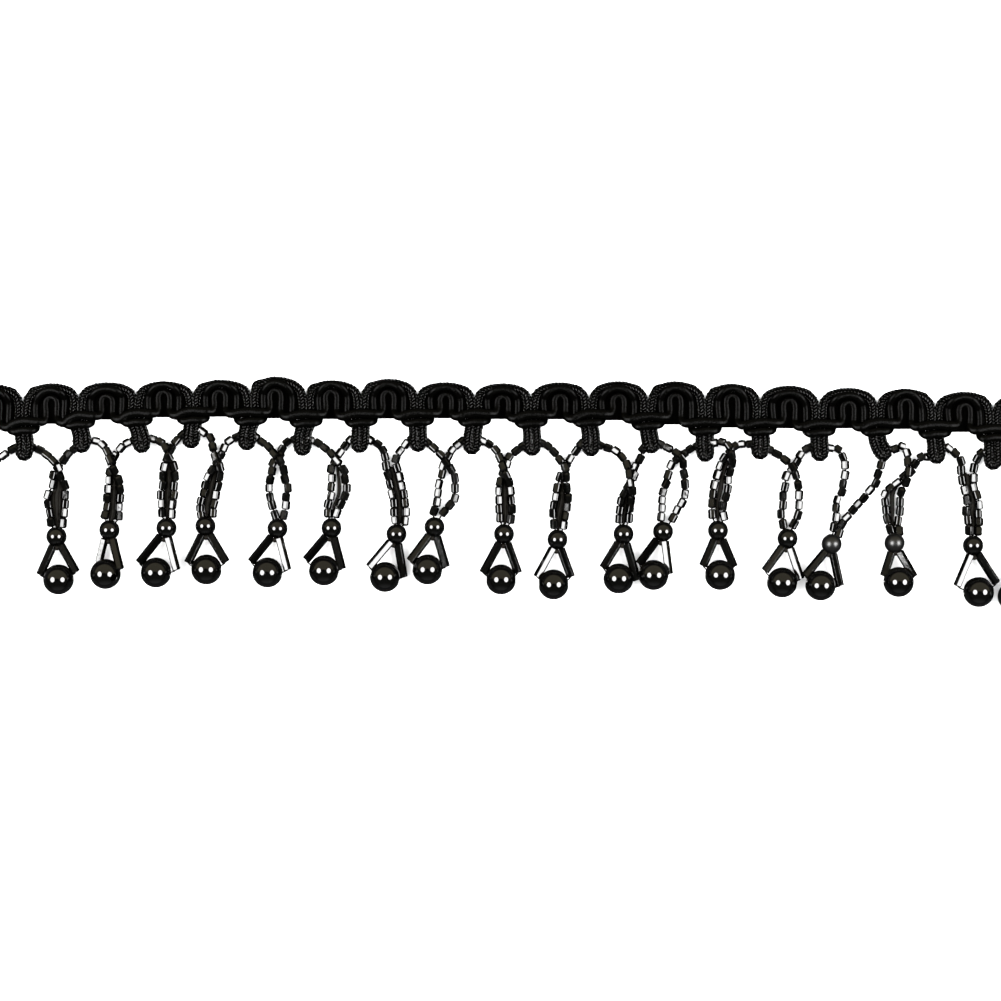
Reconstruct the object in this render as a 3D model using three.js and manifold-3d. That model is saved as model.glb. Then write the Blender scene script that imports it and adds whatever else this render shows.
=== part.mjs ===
// Beaded fringe trim, laid flat. Three looped cords, sewn over each other, make the heading.
// A running string of seed beads passes under their hanging loops and carries the drops,
// each a small round bead, two bugle beads and a large round bead on one thread.
// Millimetres, +Z up. X runs along the trim and +Y points to its scalloped edge.

import * as THREE from 'three';
import { mergeVertices } from 'three/addons/utils/BufferGeometryUtils.js';
import Module from 'manifold-3d';

const wasm = await Module();
wasm.setup();

// Driving dimensions
const TRACK = 0.2;            // the tables count in fifths of a millimetre
const DATUM_X = 500.5;        // table place of the middle of the trim
const DATUM_Y = 500.5;
const VIEW_HEIGHT = 445;      // the tables give places as seen from this far above the middle
const GAP = 0.3;              // between pieces that touch on the real trim

const BRAID_WIDTH = 1.8;
const BRAID_HEIGHT = 1.1;
const SATIN_WIDTH = 1.2;
const SATIN_HEIGHT = 1.1;
const BAND_WIDTH = 1.7;       // the inner satin cord flattens where it crosses a loop
const BAND_HEIGHT = 1.0;

const THREAD = 0.4;
const STRAND_WIDTH = 1.45;
const STRAND_HEIGHT = 1.5;
const SMALL_RADIUS = 2;
const SMALL_HOLE = 0.62;
const LARGE_RADIUS = 3;
const LARGE_HOLE = 0.55;
const BUGLE_WIDTH = 1.6;
const BUGLE_HEIGHT = 1.6;
const KNOT_WIDTH = 1.1;
const KNOT_HEIGHT = 1.0;

// Levels above the surface, each the middle of a cord's height
const BRAID_LEVEL = BRAID_HEIGHT / 2;
const BAND_LEVEL = BRAID_HEIGHT + GAP + BAND_HEIGHT / 2;
const OUTER_BAND_LEVEL = BRAID_HEIGHT + GAP + SATIN_HEIGHT / 2;
const OUTER_LEG_LEVEL = SATIN_HEIGHT / 2;
const INNER_LEG_LEVEL = 0.75;
const NECK_LEVEL = 1.0;       // of the braid's legs where a hanging loop begins
const LOOP_LEVEL = 1.7;
const THREAD_LEVEL = 0.3;
const STRAND_LEVEL = STRAND_HEIGHT / 2;

// Offsets in table steps
const BRAID_LEG = 4.7;        // from a notch to the middle of the braid's leg
const BRAID_FOOT = 3.6;       // down from a notch to where the braid's arches end
const BRAID_DIP = 16;         // down from a band's edge to where the braid's legs part
const NECK_DIP = 24;          // down from a band's edge to the neck of a hanging loop
const LOOP_RADIUS = 4.6;      // of the braid's turn at the foot of a hanging loop
const OUTER_LEG = 13.5;       // from a notch to the middle of the outer satin leg
const OUTER_FOOT = 4.5;       // down from a notch to where the outer satin arches end
const INNER_LEG = 5.6;        // from a scallop's middle to the middle of the inner satin leg
const ROOT_RISE = 11;         // from a loop's tip up to the string behind it
const STRAND_START = 16;      // from that root to where its beads begin
const STRAND_SPREAD = 5.5;    // half the distance between two strands above the small bead
const STRAND_STOP = 14.5;     // from the small bead's middle up to the last seed bead

// Where the outer satin cord crosses a loop, from the leg on one side to the leg on the other:
// steps in from that leg, steps down from the band's edge, share of the climb onto the braid
const OUTER_CROSSING = [
  [-1, 0, 12, 0],
  [-1, 0.6, 15.1, 0.5],
  [-1, 4.4, 15.6, 0.95],
  [-1, OUTER_LEG, 13.4, 1],
  [1, 4.4, 15.3, 0.95],
  [1, 0.6, 15.0, 0.5],
  [1, 0, 12, 0],
].map((row) => named(['side', 'inwards', 'down', 'climb'], row));

// Where the inner satin cord crosses a loop in the same way, between the legs of two scallops
const INNER_CROSSING = [
  [-1, 0, 0.5, 0],
  [-1, 0.4, 4.5, 0.35],
  [-1, 3, 7.6, 0.8],
  [-1, 7.5, 7.6, 1],
  [0, 0, 4.5, 1],
  [1, 6, 5.7, 1],
  [1, 1.4, 4.2, 0.65],
  [1, 0, 0.2, 0.25],
].map((row) => named(['side', 'inwards', 'down', 'climb'], row));

// A cut end of the bead string, from its root out: steps across and down, level and size in
// millimetres. A short run of seed beads, bare thread, and a knot that holds them.
const CUT_END = [
  [0, 0, THREAD_LEVEL, THREAD, THREAD],
  [13, 3.5, THREAD_LEVEL, THREAD, THREAD],
  [14, 4, STRAND_LEVEL, STRAND_WIDTH, STRAND_HEIGHT],
  [29.5, 15.2, STRAND_LEVEL, STRAND_WIDTH, STRAND_HEIGHT],
  [30, 15.5, STRAND_LEVEL, THREAD, THREAD],
  [32.4, 17.5, THREAD_LEVEL, THREAD, THREAD],
  [33, 18, KNOT_HEIGHT / 2, KNOT_WIDTH, KNOT_HEIGHT],
  [36, 20.5, KNOT_HEIGHT / 2, KNOT_WIDTH, KNOT_HEIGHT],
  [37, 21, THREAD_LEVEL, THREAD, THREAD],
].map((row) => named(['across', 'down', 'level', 'wide', 'high'], row));

// Valleys between scallops, left to right: the notch, the upper edge of the inner satin band
// and the hanging loop below it, by its neck and the tip of its turn.
const VALLEY_COLUMNS = ['x', 'notch', 'band', 'neck', 'tipX', 'tipY'];
const VALLEYS = [
  [23, 399.5, 417, 24.5, 24, 461],
  [78.5, 394.5, 411, 81.5, 82, 453],
  [136, 392, 408.5, 139.5, 143, 453],
  [193, 391.5, 406.5, 192, 190, 448.5],
  [250.5, 390, 407.5, 247.5, 246, 450.5],
  [306, 392, 409.5, 303, 302, 456],
  [361, 392, 409, 360.5, 359, 453],
  [417.5, 392, 408.5, 418, 418, 452],
  [474.5, 394, 408.5, 473, 471, 454.5],
  [531, 394.5, 410, 532, 532, 456],
  [589, 395.5, 409, 590.5, 591, 456.5],
  [648, 396.5, 412, 649.5, 653, 453.5],
  [705, 396.5, 417.5, 704.5, 706, 462],
  [760, 398, 418, 761, 759, 459.5],
  [819, 401.5, 419, 819.5, 820, 461.5],
  [877, 401, 418, 878, 887, 460],
  [935, 404, 420.5, 936, 937, 464],
  [993, 406, 424, 993, 993, 470],
  [1050, 408, 427, 1050, 1051, 472],
].map((row) => named(VALLEY_COLUMNS, row));

// Scallops, one before each valley: the middle of the inner satin loop and the crown
const SCALLOP_COLUMNS = ['x', 'crown'];
const SCALLOPS = [
  [-6, 384],
  [51, 383],
  [106.5, 382],
  [163.5, 381],
  [221, 379.5],
  [277, 376.3],
  [332.5, 380],
  [389, 378.5],
  [446.5, 382],
  [503.5, 383],
  [560, 382],
  [619, 381],
  [676, 381],
  [732, 383.5],
  [790, 385.3],
  [849, 387.5],
  [907, 388.5],
  [965, 391.5],
  [1021, 394],
].map((row) => named(SCALLOP_COLUMNS, row));

// Drops, one after each valley but the last: the pinch where its two strands cross, or pass
// side by side at half their distance, then the strands' widest places, the two round beads
// and the feet of the two bugle beads with their levels in millimetres.
const DROP_COLUMNS = [
  'pinchX', 'pinchY', 'apart', 'leftX', 'leftY', 'rightX', 'rightY', 'smallX', 'smallY',
  'largeX', 'largeY', 'footLX', 'footLY', 'levelL', 'footRX', 'footRY', 'levelR',
];
const DROPS = [
  [60, 468, 0, 48, 499, 65, 492, 56.5, 536.5, 58.5, 579.5, 40, 575, 2.6, 76, 572, 2.6],
  [112, 460, 0, 107, 499, 120, 493, 109.5, 530, 105.5, 574, 90, 572, 0.9, 121, 570, 2.6],
  [169, 456, 0, 161, 494, 175, 476, 166.5, 528, 156, 572.5, 139, 563, 2.6, 176.5, 570, 2.6],
  [218, 462, 0, 203, 497, 220, 474, 205.5, 526, 206.5, 569.5, 188, 563, 2.6, 226, 562, 2.6],
  [278, 458, 0, 269, 486, 287, 494, 277.5, 528.5, 267.5, 572.5, 251, 562, 2.6, 287.5, 570, 2.6],
  [337, 462, 0, 331, 492, 347, 489, 331.5, 528, 324, 570.5, 306, 560, 2.6, 342, 569, 2.6],
  [391, 462, 5.2, 391, 490, 404, 494, 396.5, 534, 385, 577, 369, 567, 2.6, 403.5, 577, 1.2],
  [446, 462, 0, 438, 493, 455.5, 489, 434.5, 527, 427.5, 569.5, 410, 561, 3.0, 446, 567, 2.6],
  [505, 468, 0, 499, 495, 511.5, 495, 504, 534, 501, 579.5, 483, 573, 2.6, 518, 573, 2.6],
  [565, 469, 0, 555, 497, 568, 497, 557.5, 539.5, 553.5, 584.5, 537, 577, 2.6, 571, 577, 2.6],
  [632, 470, 0, 622, 498, 631.5, 491, 623.5, 534, 618.5, 578.5, 603, 568, 2.6, 636, 578, 1.0],
  [679, 458, 0, 663, 494, 685, 486, 663, 531.5, 653.5, 575, 638, 563, 3.2, 669, 574, 2.6],
  [730, 450, 0, 713, 496, 729, 485, 718, 530.5, 720, 575, 703, 566, 2.6, 734, 567, 2.6],
  [792, 468, 0, 783, 498, 799, 500, 787.5, 538.5, 782, 582.5, 765, 571, 2.6, 800.5, 579, 1.0],
  [862.5, 468, 17.5, 840, 492, 867, 493, 831.5, 544, 820.5, 585.5, 805, 576, 3.0, 840, 586, 2.6],
  [908, 473, 0, 885.5, 496, 903, 486, 894.5, 543, 898.5, 582, 884, 576, 2.6, 914, 577, 2.6],
  [967.5, 470, 6, 965, 490, 977, 497, 973, 545.5, 978.5, 592, 957, 586, 2.6, 996, 583, 1.2],
  [1029, 472, 23, 1021, 502, 1055, 505, 1047, 565, 1013, 596.5, 1007, 579, 3.2, 1029, 607, 1.2],
].map((row) => named(DROP_COLUMNS, row));

// Finishes
const BRAID_FINISH = new THREE.MeshStandardMaterial({ color: 0x0b0b0c, roughness: 0.75 });
const SATIN_FINISH = new THREE.MeshStandardMaterial({ color: 0x0d0d0e, roughness: 0.45 });
const SEED_FINISH = new THREE.MeshStandardMaterial({ color: 0x0a0908, roughness: 0.12 });
const BEAD_FINISH = new THREE.MeshStandardMaterial({ color: 0x050505, roughness: 0.08 });
const BUGLE_FINISH = new THREE.MeshStandardMaterial({ color: 0x070606, roughness: 0.15 });

const UP = new THREE.Vector3(0, 0, 1);

// Sections one unit wide and high, flat below
const CORD_SECTION = section([[0.3, -0.5], [0.5, 0.05], [0, 0.5], [-0.5, 0.05], [-0.3, -0.5]]);
const STRAND_SECTION = section([[0.5, -0.5], [0.42, 0.5], [-0.42, 0.5], [-0.5, -0.5]]);
const TUBE_SECTION = section([[0.36, -0.5], [0.5, 0.12], [0, 0.5], [-0.5, 0.12], [-0.36, -0.5]]);

function named(columns, row) {
  return Object.fromEntries(columns.map((column, i) => [column, row[i]]));
}

function section(corners) {
  return new THREE.Shape(corners.map(([x, y]) => new THREE.Vector2(x, y)));
}

// A table place at a level above the surface, as a point of the trim
function place(x, y, level) {
  const step = TRACK * (1 - level / VIEW_HEIGHT);
  return new THREE.Vector3((x - DATUM_X) * step, (DATUM_Y - y) * step, level);
}

// One ring of a cord: its middle and the section's width and height there
function ring(at, wide, high) {
  return { at, wide, high };
}

// A cord's course through its rings, whose section stays level instead of twisting
class Course extends THREE.Curve {
  constructor(rings) {
    super();
    this.rings = rings;
  }

  getSpacedPoints() {
    return this.rings.map(({ at }) => at);
  }

  computeFrenetFrames() {
    const tangents = this.rings.map((_, i) => this.heading(i));
    const sides = tangents.map((tangent) => UP.clone().cross(tangent).normalize());
    const normals = sides.map((side, i) => side.clone().multiplyScalar(this.rings[i].wide));
    const binormals = tangents.map((tangent, i) =>
      tangent.clone().cross(sides[i]).multiplyScalar(this.rings[i].high));
    return { tangents, normals, binormals };
  }

  // Direction at a ring, halfway between the stretches before and after it
  heading(i) {
    const way = new THREE.Vector3();
    for (const [from, to] of [[i - 1, i], [i, i + 1]]) {
      if (from < 0 || to >= this.rings.length) continue;
      way.add(this.rings[to].at.clone().sub(this.rings[from].at).normalize());
    }
    return way.normalize();
  }
}

function cord(shape, rings) {
  return new THREE.ExtrudeGeometry(shape, {
    steps: rings.length - 1,
    extrudePath: new Course(rings),
  });
}

function toSolid(geometry) {
  const bare = geometry.clone();
  bare.deleteAttribute('normal');
  bare.deleteAttribute('uv');
  const merged = mergeVertices(bare, 1e-5);
  return new wasm.Manifold(new wasm.Mesh({
    numProp: 3,
    vertProperties: new Float32Array(merged.attributes.position.array),
    triVerts: new Uint32Array(merged.index.array),
  }));
}

function joined(geometries) {
  const whole = geometries.map(toSolid).reduce((sum, solid) => sum.add(solid));
  const { vertProperties, triVerts, numProp } = whole.getMesh();
  const geometry = new THREE.BufferGeometry();
  const positions = new Float32Array((vertProperties.length / numProp) * 3);
  for (let i = 0; i < positions.length / 3; i += 1) {
    positions.set(vertProperties.subarray(i * numProp, i * numProp + 3), i * 3);
  }
  geometry.setAttribute('position', new THREE.BufferAttribute(positions, 3));
  geometry.setIndex(new THREE.BufferAttribute(new Uint32Array(triVerts), 1));
  geometry.computeVertexNormals();
  return geometry;
}

// An arch in table steps: a quarter ellipse up from the left foot, and one down to the right
// foot. Turns are in degrees from each foot to the crown.
function arch(left, crown, right, turns) {
  const quarter = (foot) => turns.map((turn) => {
    const angle = THREE.MathUtils.degToRad(turn);
    return {
      x: crown.x + (foot.x - crown.x) * Math.cos(angle),
      y: foot.y + (crown.y - foot.y) * Math.sin(angle),
      turn,
    };
  });
  return { rise: quarter(left), top: { ...crown, turn: 90 }, fall: quarter(right).reverse() };
}

function blend(low, high, share) {
  return THREE.MathUtils.lerp(low, high, THREE.MathUtils.clamp(share, 0, 1));
}

// Each scallop with the valleys on its two sides. The first scallop is cut at its crown.
const BAYS = SCALLOPS.map((scallop, n) => ({
  scallop,
  before: VALLEYS[n - 1],
  after: VALLEYS[n],
}));

// The cord's rings over one scallop, from the left foot or, at the cut end, from the crown
function overScallop({ scallop, before, after }, shape) {
  const right = shape.foot(after, -1);
  const left = before ? shape.foot(before, 1) : { x: 2 * scallop.x - right.x, y: right.y };
  const crown = { x: scallop.x, y: scallop.crown + shape.depth };
  const { rise, top, fall } = arch(left, crown, right, shape.turns);
  const points = before ? [...rise, top, ...fall] : [top, ...fall];
  return points.map(({ x, y, turn }) =>
    ring(place(x, y, shape.level(turn)), shape.wide, shape.high));
}

// Braided loop cord: the outer scallops, double legs in each valley and the hanging loops
const BRAID_ARCH = {
  depth: 4.2,
  turns: [0, 36, 66],
  wide: BRAID_WIDTH,
  high: BRAID_HEIGHT,
  level: () => BRAID_LEVEL,
  foot: (valley, side) => ({ x: valley.x + side * BRAID_LEG, y: valley.notch + BRAID_FOOT }),
};

function hangingLoop(valley) {
  const neck = new THREE.Vector2(valley.neck, valley.band + NECK_DIP);
  const tip = new THREE.Vector2(valley.tipX, valley.tipY);
  const down = tip.clone().sub(neck).normalize();
  const across = new THREE.Vector2(down.y, -down.x);
  const middle = tip.clone().addScaledVector(down, -2 * LOOP_RADIUS);
  const braid = (x, y, level) => ring(place(x, y, level), BRAID_WIDTH, BRAID_HEIGHT);
  const turn = [180, 240, 300, 360].map((degrees) => {
    const angle = THREE.MathUtils.degToRad(degrees);
    const at = middle.clone()
      .addScaledVector(across, LOOP_RADIUS * Math.cos(angle))
      .addScaledVector(down, -LOOP_RADIUS * Math.sin(angle));
    return braid(at.x, at.y, LOOP_LEVEL);
  });
  return [
    braid(valley.x - BRAID_LEG, valley.band + BRAID_DIP, BRAID_LEVEL),
    braid(neck.x - BRAID_LEG, neck.y, NECK_LEVEL),
    ...turn,
    braid(neck.x + BRAID_LEG, neck.y, NECK_LEVEL),
    braid(valley.x + BRAID_LEG, valley.band + BRAID_DIP, BRAID_LEVEL),
  ];
}

function loopCord() {
  const rings = BAYS.flatMap((bay) => [
    ...overScallop(bay, BRAID_ARCH),
    ...hangingLoop(bay.after),
  ]);
  const { x, y } = BRAID_ARCH.foot(VALLEYS.at(-1), 1);
  const cutEnd = ring(place(x, y, BRAID_LEVEL), BRAID_WIDTH, BRAID_HEIGHT);
  return cord(CORD_SECTION, [...rings, cutEnd]);
}

// Outer satin cord: it climbs onto the braid at each crown and crosses each loop low
const OUTER_ARCH = {
  depth: 7.6,
  turns: [0, 45],
  wide: SATIN_WIDTH,
  high: SATIN_HEIGHT,
  level: (turn) => blend(OUTER_LEG_LEVEL, OUTER_BAND_LEVEL, 0.3 + turn / 60),
  foot: (valley, side) => ({ x: valley.x + side * OUTER_LEG, y: valley.notch + OUTER_FOOT }),
};

function outerCrossing(valley) {
  return OUTER_CROSSING.map(({ side, inwards, down, climb }) => {
    const level = blend(OUTER_LEG_LEVEL, OUTER_BAND_LEVEL, climb);
    const x = valley.x + side * (OUTER_LEG - inwards);
    return ring(place(x, valley.band + down, level), SATIN_WIDTH, SATIN_HEIGHT);
  });
}

function outerSatin() {
  const rings = BAYS.flatMap((bay) => [
    ...overScallop(bay, OUTER_ARCH),
    ...outerCrossing(bay.after),
  ]);
  return cord(CORD_SECTION, rings);
}

// Inner satin cord: narrow arches, and wide flattened bands over the loops
const INNER_ARCH = {
  depth: 15,
  turns: [0, 45],
  wide: SATIN_WIDTH,
  high: SATIN_HEIGHT,
  level: () => INNER_LEG_LEVEL,
};

function innerArch({ scallop, before, after }) {
  const foot = (valley, side) =>
    ({ x: scallop.x - side * INNER_LEG, y: scallop.crown + INNER_ARCH.depth + INNER_LEG });
  return overScallop({ scallop, before, after }, { ...INNER_ARCH, foot });
}

function innerCrossing(bay, next) {
  const { x, band } = bay.after;
  const before = bay.scallop.x + INNER_LEG;
  const after = (next ? next.scallop.x : 2 * x - bay.scallop.x) - INNER_LEG;
  return INNER_CROSSING.map(({ side, inwards, down, climb }) => {
    const leg = [before, x, after][side + 1];
    return ring(
      place(leg - side * inwards, band + down, blend(INNER_LEG_LEVEL, BAND_LEVEL, climb)),
      blend(SATIN_WIDTH, BAND_WIDTH, climb),
      blend(SATIN_HEIGHT, BAND_HEIGHT, climb),
    );
  });
}

function innerSatin() {
  const rings = BAYS.flatMap((bay, n) => [
    ...innerArch(bay),
    ...innerCrossing(bay, BAYS[n + 1]),
  ]);
  return cord(CORD_SECTION, rings);
}

// Levels of the bead holes, which follow from flats that rest on the surface
function restHeight(radius, sides) {
  return radius * Math.sqrt(Math.cos(Math.PI / sides));
}

const SMALL_SIDES = 8;
const LARGE_SIDES = 10;
const SMALL_LEVEL = restHeight(SMALL_RADIUS, SMALL_SIDES);
const LARGE_LEVEL = restHeight(LARGE_RADIUS, LARGE_SIDES);

function beadPlaces(drop) {
  const small = place(drop.smallX, drop.smallY, SMALL_LEVEL);
  const large = place(drop.largeX, drop.largeY, LARGE_LEVEL);
  const left = place(drop.footLX, drop.footLY, drop.levelL);
  const right = place(drop.footRX, drop.footRY, drop.levelR);
  const along = right.clone().sub(left).setZ(0).normalize();
  const down = large.clone().sub(small).setZ(0).normalize();
  return { small, large, left, right, along, down };
}

// A round bead turned about its hole, with a flat of its many sides downwards
function roundBead(radius, hole, sides, arcs) {
  const full = radius / Math.sqrt(Math.cos(Math.PI / sides));
  const mouth = Math.asin(hole / full);
  const profile = Array.from({ length: arcs + 1 }, (_, i) => {
    const angle = mouth + (Math.PI - 2 * mouth) * (i / arcs);
    return new THREE.Vector2(full * Math.sin(angle), -full * Math.cos(angle));
  });
  profile.push(profile[0].clone());
  return new THREE.LatheGeometry(profile, sides, Math.PI / sides);
}

function threaded(mesh, at, holeWay) {
  const across = holeWay.clone().cross(UP);
  mesh.position.copy(at);
  mesh.quaternion.setFromRotationMatrix(new THREE.Matrix4().makeBasis(across, holeWay, UP));
  return mesh;
}

// One strand of seed beads, from the root under a hanging loop down into the small bead.
// Side is -1 for the strand that ends on the small bead's left and 1 for its right.
function strandRings(valley, drop, side) {
  const { small, down } = beadPlaces(drop);
  const root = place(valley.tipX, valley.tipY - ROOT_RISE, STRAND_LEVEL);
  const pinch = place(drop.pinchX + side * drop.apart, drop.pinchY, STRAND_LEVEL);
  const belly = side < 0
    ? place(drop.leftX, drop.leftY, STRAND_LEVEL)
    : place(drop.rightX, drop.rightY, STRAND_LEVEL);
  const across = new THREE.Vector3(-down.y, down.x, 0).multiplyScalar(side);
  const foot = small.clone().setZ(STRAND_LEVEL)
    .addScaledVector(down, -STRAND_STOP * TRACK)
    .addScaledVector(across, STRAND_SPREAD * TRACK);
  const course = new THREE.CatmullRomCurve3([root, pinch, belly, foot], false, 'centripetal');
  const begin = (STRAND_START * TRACK) / course.getLength();
  const seeds = [0, 0.28, 0.52, 0.76, 1].map((share) =>
    ring(course.getPointAt(blend(begin, 1, share)), STRAND_WIDTH, STRAND_HEIGHT));
  const mouth = small.clone().addScaledVector(down, -SMALL_RADIUS - THREAD / 2);
  const inside = small.clone().addScaledVector(down, -SMALL_RADIUS / 2);
  const thin = (at) => ring(at, THREAD, THREAD);
  const strand = [
    thin(root.clone().setZ(THREAD_LEVEL)),
    thin(seeds[0].at),
    ...seeds,
    thin(seeds.at(-1).at),
    thin(mouth),
  ];
  return side < 0 ? [...strand, thin(inside)] : strand;
}

// A cut end of the bead string, from its root out to the knot
function knottedEnd(valley, side) {
  return CUT_END.map(({ across, down, level, wide, high }) => {
    const y = valley.tipY - ROOT_RISE + down;
    return ring(place(valley.tipX + side * across, y, level), wide, high);
  });
}

// Which side of its drop a strand ends on: crossed strands change sides
function endSide(drop, rootSide) {
  return drop.apart > 0 ? rootSide : -rootSide;
}

function beadString() {
  const pieces = VALLEYS.map((valley, n) => {
    const earlier = DROPS[n - 1];
    const later = DROPS[n];
    const into = earlier
      ? strandRings(valley, earlier, endSide(earlier, 1)).reverse()
      : knottedEnd(valley, -1).reverse();
    const out = later
      ? strandRings(valley, later, endSide(later, -1))
      : knottedEnd(valley, 1);
    return cord(STRAND_SECTION, [...into, ...out.slice(1)]);
  });
  return joined(pieces);
}

// A bugle's foot, moved off the large bead where it would press into it
function clearFoot(foot, large) {
  const away = foot.clone().sub(large);
  const clear = LARGE_RADIUS / Math.sqrt(Math.cos(Math.PI / LARGE_SIDES))
    + BUGLE_WIDTH / 2 + GAP;
  const flat = Math.hypot(away.x, away.y);
  const wanted = Math.sqrt(clear ** 2 - away.z ** 2);
  const scale = Math.max(1, wanted / flat);
  return large.clone().add(new THREE.Vector3(away.x * scale, away.y * scale, away.z));
}

// Two bugle beads on the thread that leaves the small bead and runs through the large one
function buglePair(drop) {
  const { small, large, left, right, along, down } = beadPlaces(drop);
  const thin = (at) => ring(at, THREAD, THREAD);
  const glass = (at) => ring(at, BUGLE_WIDTH, BUGLE_HEIGHT);
  const bugle = (foot) => {
    const end = clearFoot(foot, large);
    const way = end.clone().sub(small).normalize();
    return { end, top: small.clone().addScaledVector(way, SMALL_RADIUS + BUGLE_WIDTH / 2) };
  };
  const one = bugle(left);
  const two = bugle(right);
  const reach = LARGE_RADIUS + GAP;
  return cord(TUBE_SECTION, [
    thin(small.clone().addScaledVector(down, SMALL_RADIUS / 2)),
    thin(small.clone().addScaledVector(down, SMALL_RADIUS + THREAD / 2)),
    thin(one.top), glass(one.top), glass(one.end), thin(one.end),
    thin(large.clone().addScaledVector(along, -reach)),
    thin(large.clone().addScaledVector(along, reach)),
    thin(two.end), glass(two.end), glass(two.top),
  ]);
}

function piece(name, geometry, finish) {
  const mesh = new THREE.Mesh(geometry, finish);
  mesh.name = name;
  return mesh;
}

const heading = new THREE.Group();
heading.add(
  piece('loop_cord', loopCord(), BRAID_FINISH),
  piece('outer_satin', outerSatin(), SATIN_FINISH),
  piece('inner_satin', innerSatin(), SATIN_FINISH),
);

const fringe = new THREE.Group();
fringe.add(piece('bead_string', beadString(), SEED_FINISH));

const smallBead = roundBead(SMALL_RADIUS, SMALL_HOLE, SMALL_SIDES, 4);
const largeBead = roundBead(LARGE_RADIUS, LARGE_HOLE, LARGE_SIDES, 6);
DROPS.forEach((drop, n) => {
  const number = String(n + 1).padStart(2, '0');
  const { small, large, along, down } = beadPlaces(drop);
  fringe.add(
    threaded(piece(`small_bead_${number}`, smallBead, BEAD_FINISH), small, down),
    piece(`bugle_pair_${number}`, buglePair(drop), BUGLE_FINISH),
    threaded(piece(`large_bead_${number}`, largeBead, BEAD_FINISH), large, along),
  );
});

// The trim stands on its origin, in the middle of its length and depth
const trim = new THREE.Group();
trim.add(heading, fringe);
trim.updateMatrixWorld(true);
const middle = new THREE.Box3().setFromObject(trim, true).getCenter(new THREE.Vector3());
trim.position.set(-middle.x, -middle.y, 0);

export default trim;
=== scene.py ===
"""Looks of the beaded fringe trim: three looped cords, strung glass beads, studio and camera.

The trim lies flat on a table. The tables below count in fifths of a millimetre, to the right and
down, as the trim is seen from VIEW_HEIGHT above the middle of the table. All else is in metres,
unless another unit is named.
"""

import logging
import math
import random
from dataclasses import dataclass
from enum import Enum
from typing import Callable, NamedTuple, Sequence

import bmesh
import bpy
import numpy as np
from bmesh.types import BMesh
from bpy.types import ID, Material, Mesh, Node, NodeOutputs, NodeSocket, NodeTree, Object
from mathutils import Matrix, Vector


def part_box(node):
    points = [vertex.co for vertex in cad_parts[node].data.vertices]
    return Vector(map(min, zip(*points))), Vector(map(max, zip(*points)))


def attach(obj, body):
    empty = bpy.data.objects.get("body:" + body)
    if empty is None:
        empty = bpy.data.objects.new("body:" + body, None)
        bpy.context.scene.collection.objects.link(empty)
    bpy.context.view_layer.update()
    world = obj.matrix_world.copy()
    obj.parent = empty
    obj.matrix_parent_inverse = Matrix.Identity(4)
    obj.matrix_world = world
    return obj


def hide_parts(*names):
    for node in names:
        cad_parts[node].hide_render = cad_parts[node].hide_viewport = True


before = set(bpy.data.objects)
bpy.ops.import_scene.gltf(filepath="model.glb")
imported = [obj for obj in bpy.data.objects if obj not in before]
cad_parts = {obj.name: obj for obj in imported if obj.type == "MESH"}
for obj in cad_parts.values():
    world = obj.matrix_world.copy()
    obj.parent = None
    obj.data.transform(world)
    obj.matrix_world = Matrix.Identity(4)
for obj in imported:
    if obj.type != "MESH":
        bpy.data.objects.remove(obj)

log = logging.getLogger("fringe_trim")

MILLIMETRE = 0.001
STEP = 0.0002
DATUM = 500.5
VIEW_HEIGHT = 0.445
SMALL_RADIUS = 0.002
LARGE_RADIUS = 0.003
ARCH_GAP = 7.2
MERGE = 1e-7
UP = Vector((0.0, 0.0, 1.0))

Place = tuple[float, float]
Colour = tuple[float, float, float, float]
Size = float | np.ndarray


class Valley(NamedTuple):
    """A valley between two scallops, with the hanging loop below it, in table steps.

    The bulge is the lowest place of the inner satin cord, at the left end of its band.
    """

    x: float
    notch: float
    band: float
    neck: float
    tip_x: float
    tip_y: float
    bulge: float


class Scallop(NamedTuple):
    """A scallop: the middle of its inner satin loop and its crown, in table steps.

    The two satin arches lie satin and satin + ARCH_GAP steps below the crown.
    """

    x: float
    crown: float
    satin: float


class Drop(NamedTuple):
    """A drop's round beads and the feet of its bugle beads, in table steps.

    The levels of the two feet are in millimetres. The tilts are how many degrees the upper facet
    of each bugle leans to the right. The hole of the large bead runs to the right, and hole_rise
    is how many degrees it is turned up there.
    """

    small: Place
    large: Place
    left: Place
    left_level: float
    right: Place
    right_level: float
    left_tilt: float = 0.0
    right_tilt: float = 0.0
    hole_rise: float = 0.0


VALLEYS = [
    Valley(23, 399.5, 417, 24.5, 24, 461, 432),
    Valley(78.5, 394.5, 411, 81.5, 82, 453, 427.5),
    Valley(136, 392, 408.5, 139.5, 143, 453, 424),
    Valley(193, 391.5, 406.5, 192, 190, 448.5, 420),
    Valley(250.5, 390, 407.5, 247.5, 246, 450.5, 418.5),
    Valley(306, 392, 409.5, 303, 302, 456, 421.5),
    Valley(361, 392, 409, 360.5, 359, 453, 421),
    Valley(417.5, 392, 408.5, 418, 418, 452, 421),
    Valley(474.5, 394, 408.5, 473, 471, 454.5, 421),
    Valley(531, 394.5, 410, 532, 532, 456, 423),
    Valley(589, 395.5, 409, 590.5, 591, 456.5, 423.5),
    Valley(648, 396.5, 412, 649.5, 653, 453.5, 424),
    Valley(705, 396.5, 417.5, 704.5, 706, 462, 428),
    Valley(760, 398, 418, 761, 759, 459.5, 430),
    Valley(819, 401.5, 419, 819.5, 820, 461.5, 431.5),
    Valley(877, 401, 418, 878, 887, 460, 432),
    Valley(935, 404, 420.5, 936, 937, 464, 431.5),
    Valley(993, 406, 424, 993, 993, 470, 435),
    Valley(1050, 408, 427, 1050, 1051, 472, 439),
]

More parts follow.
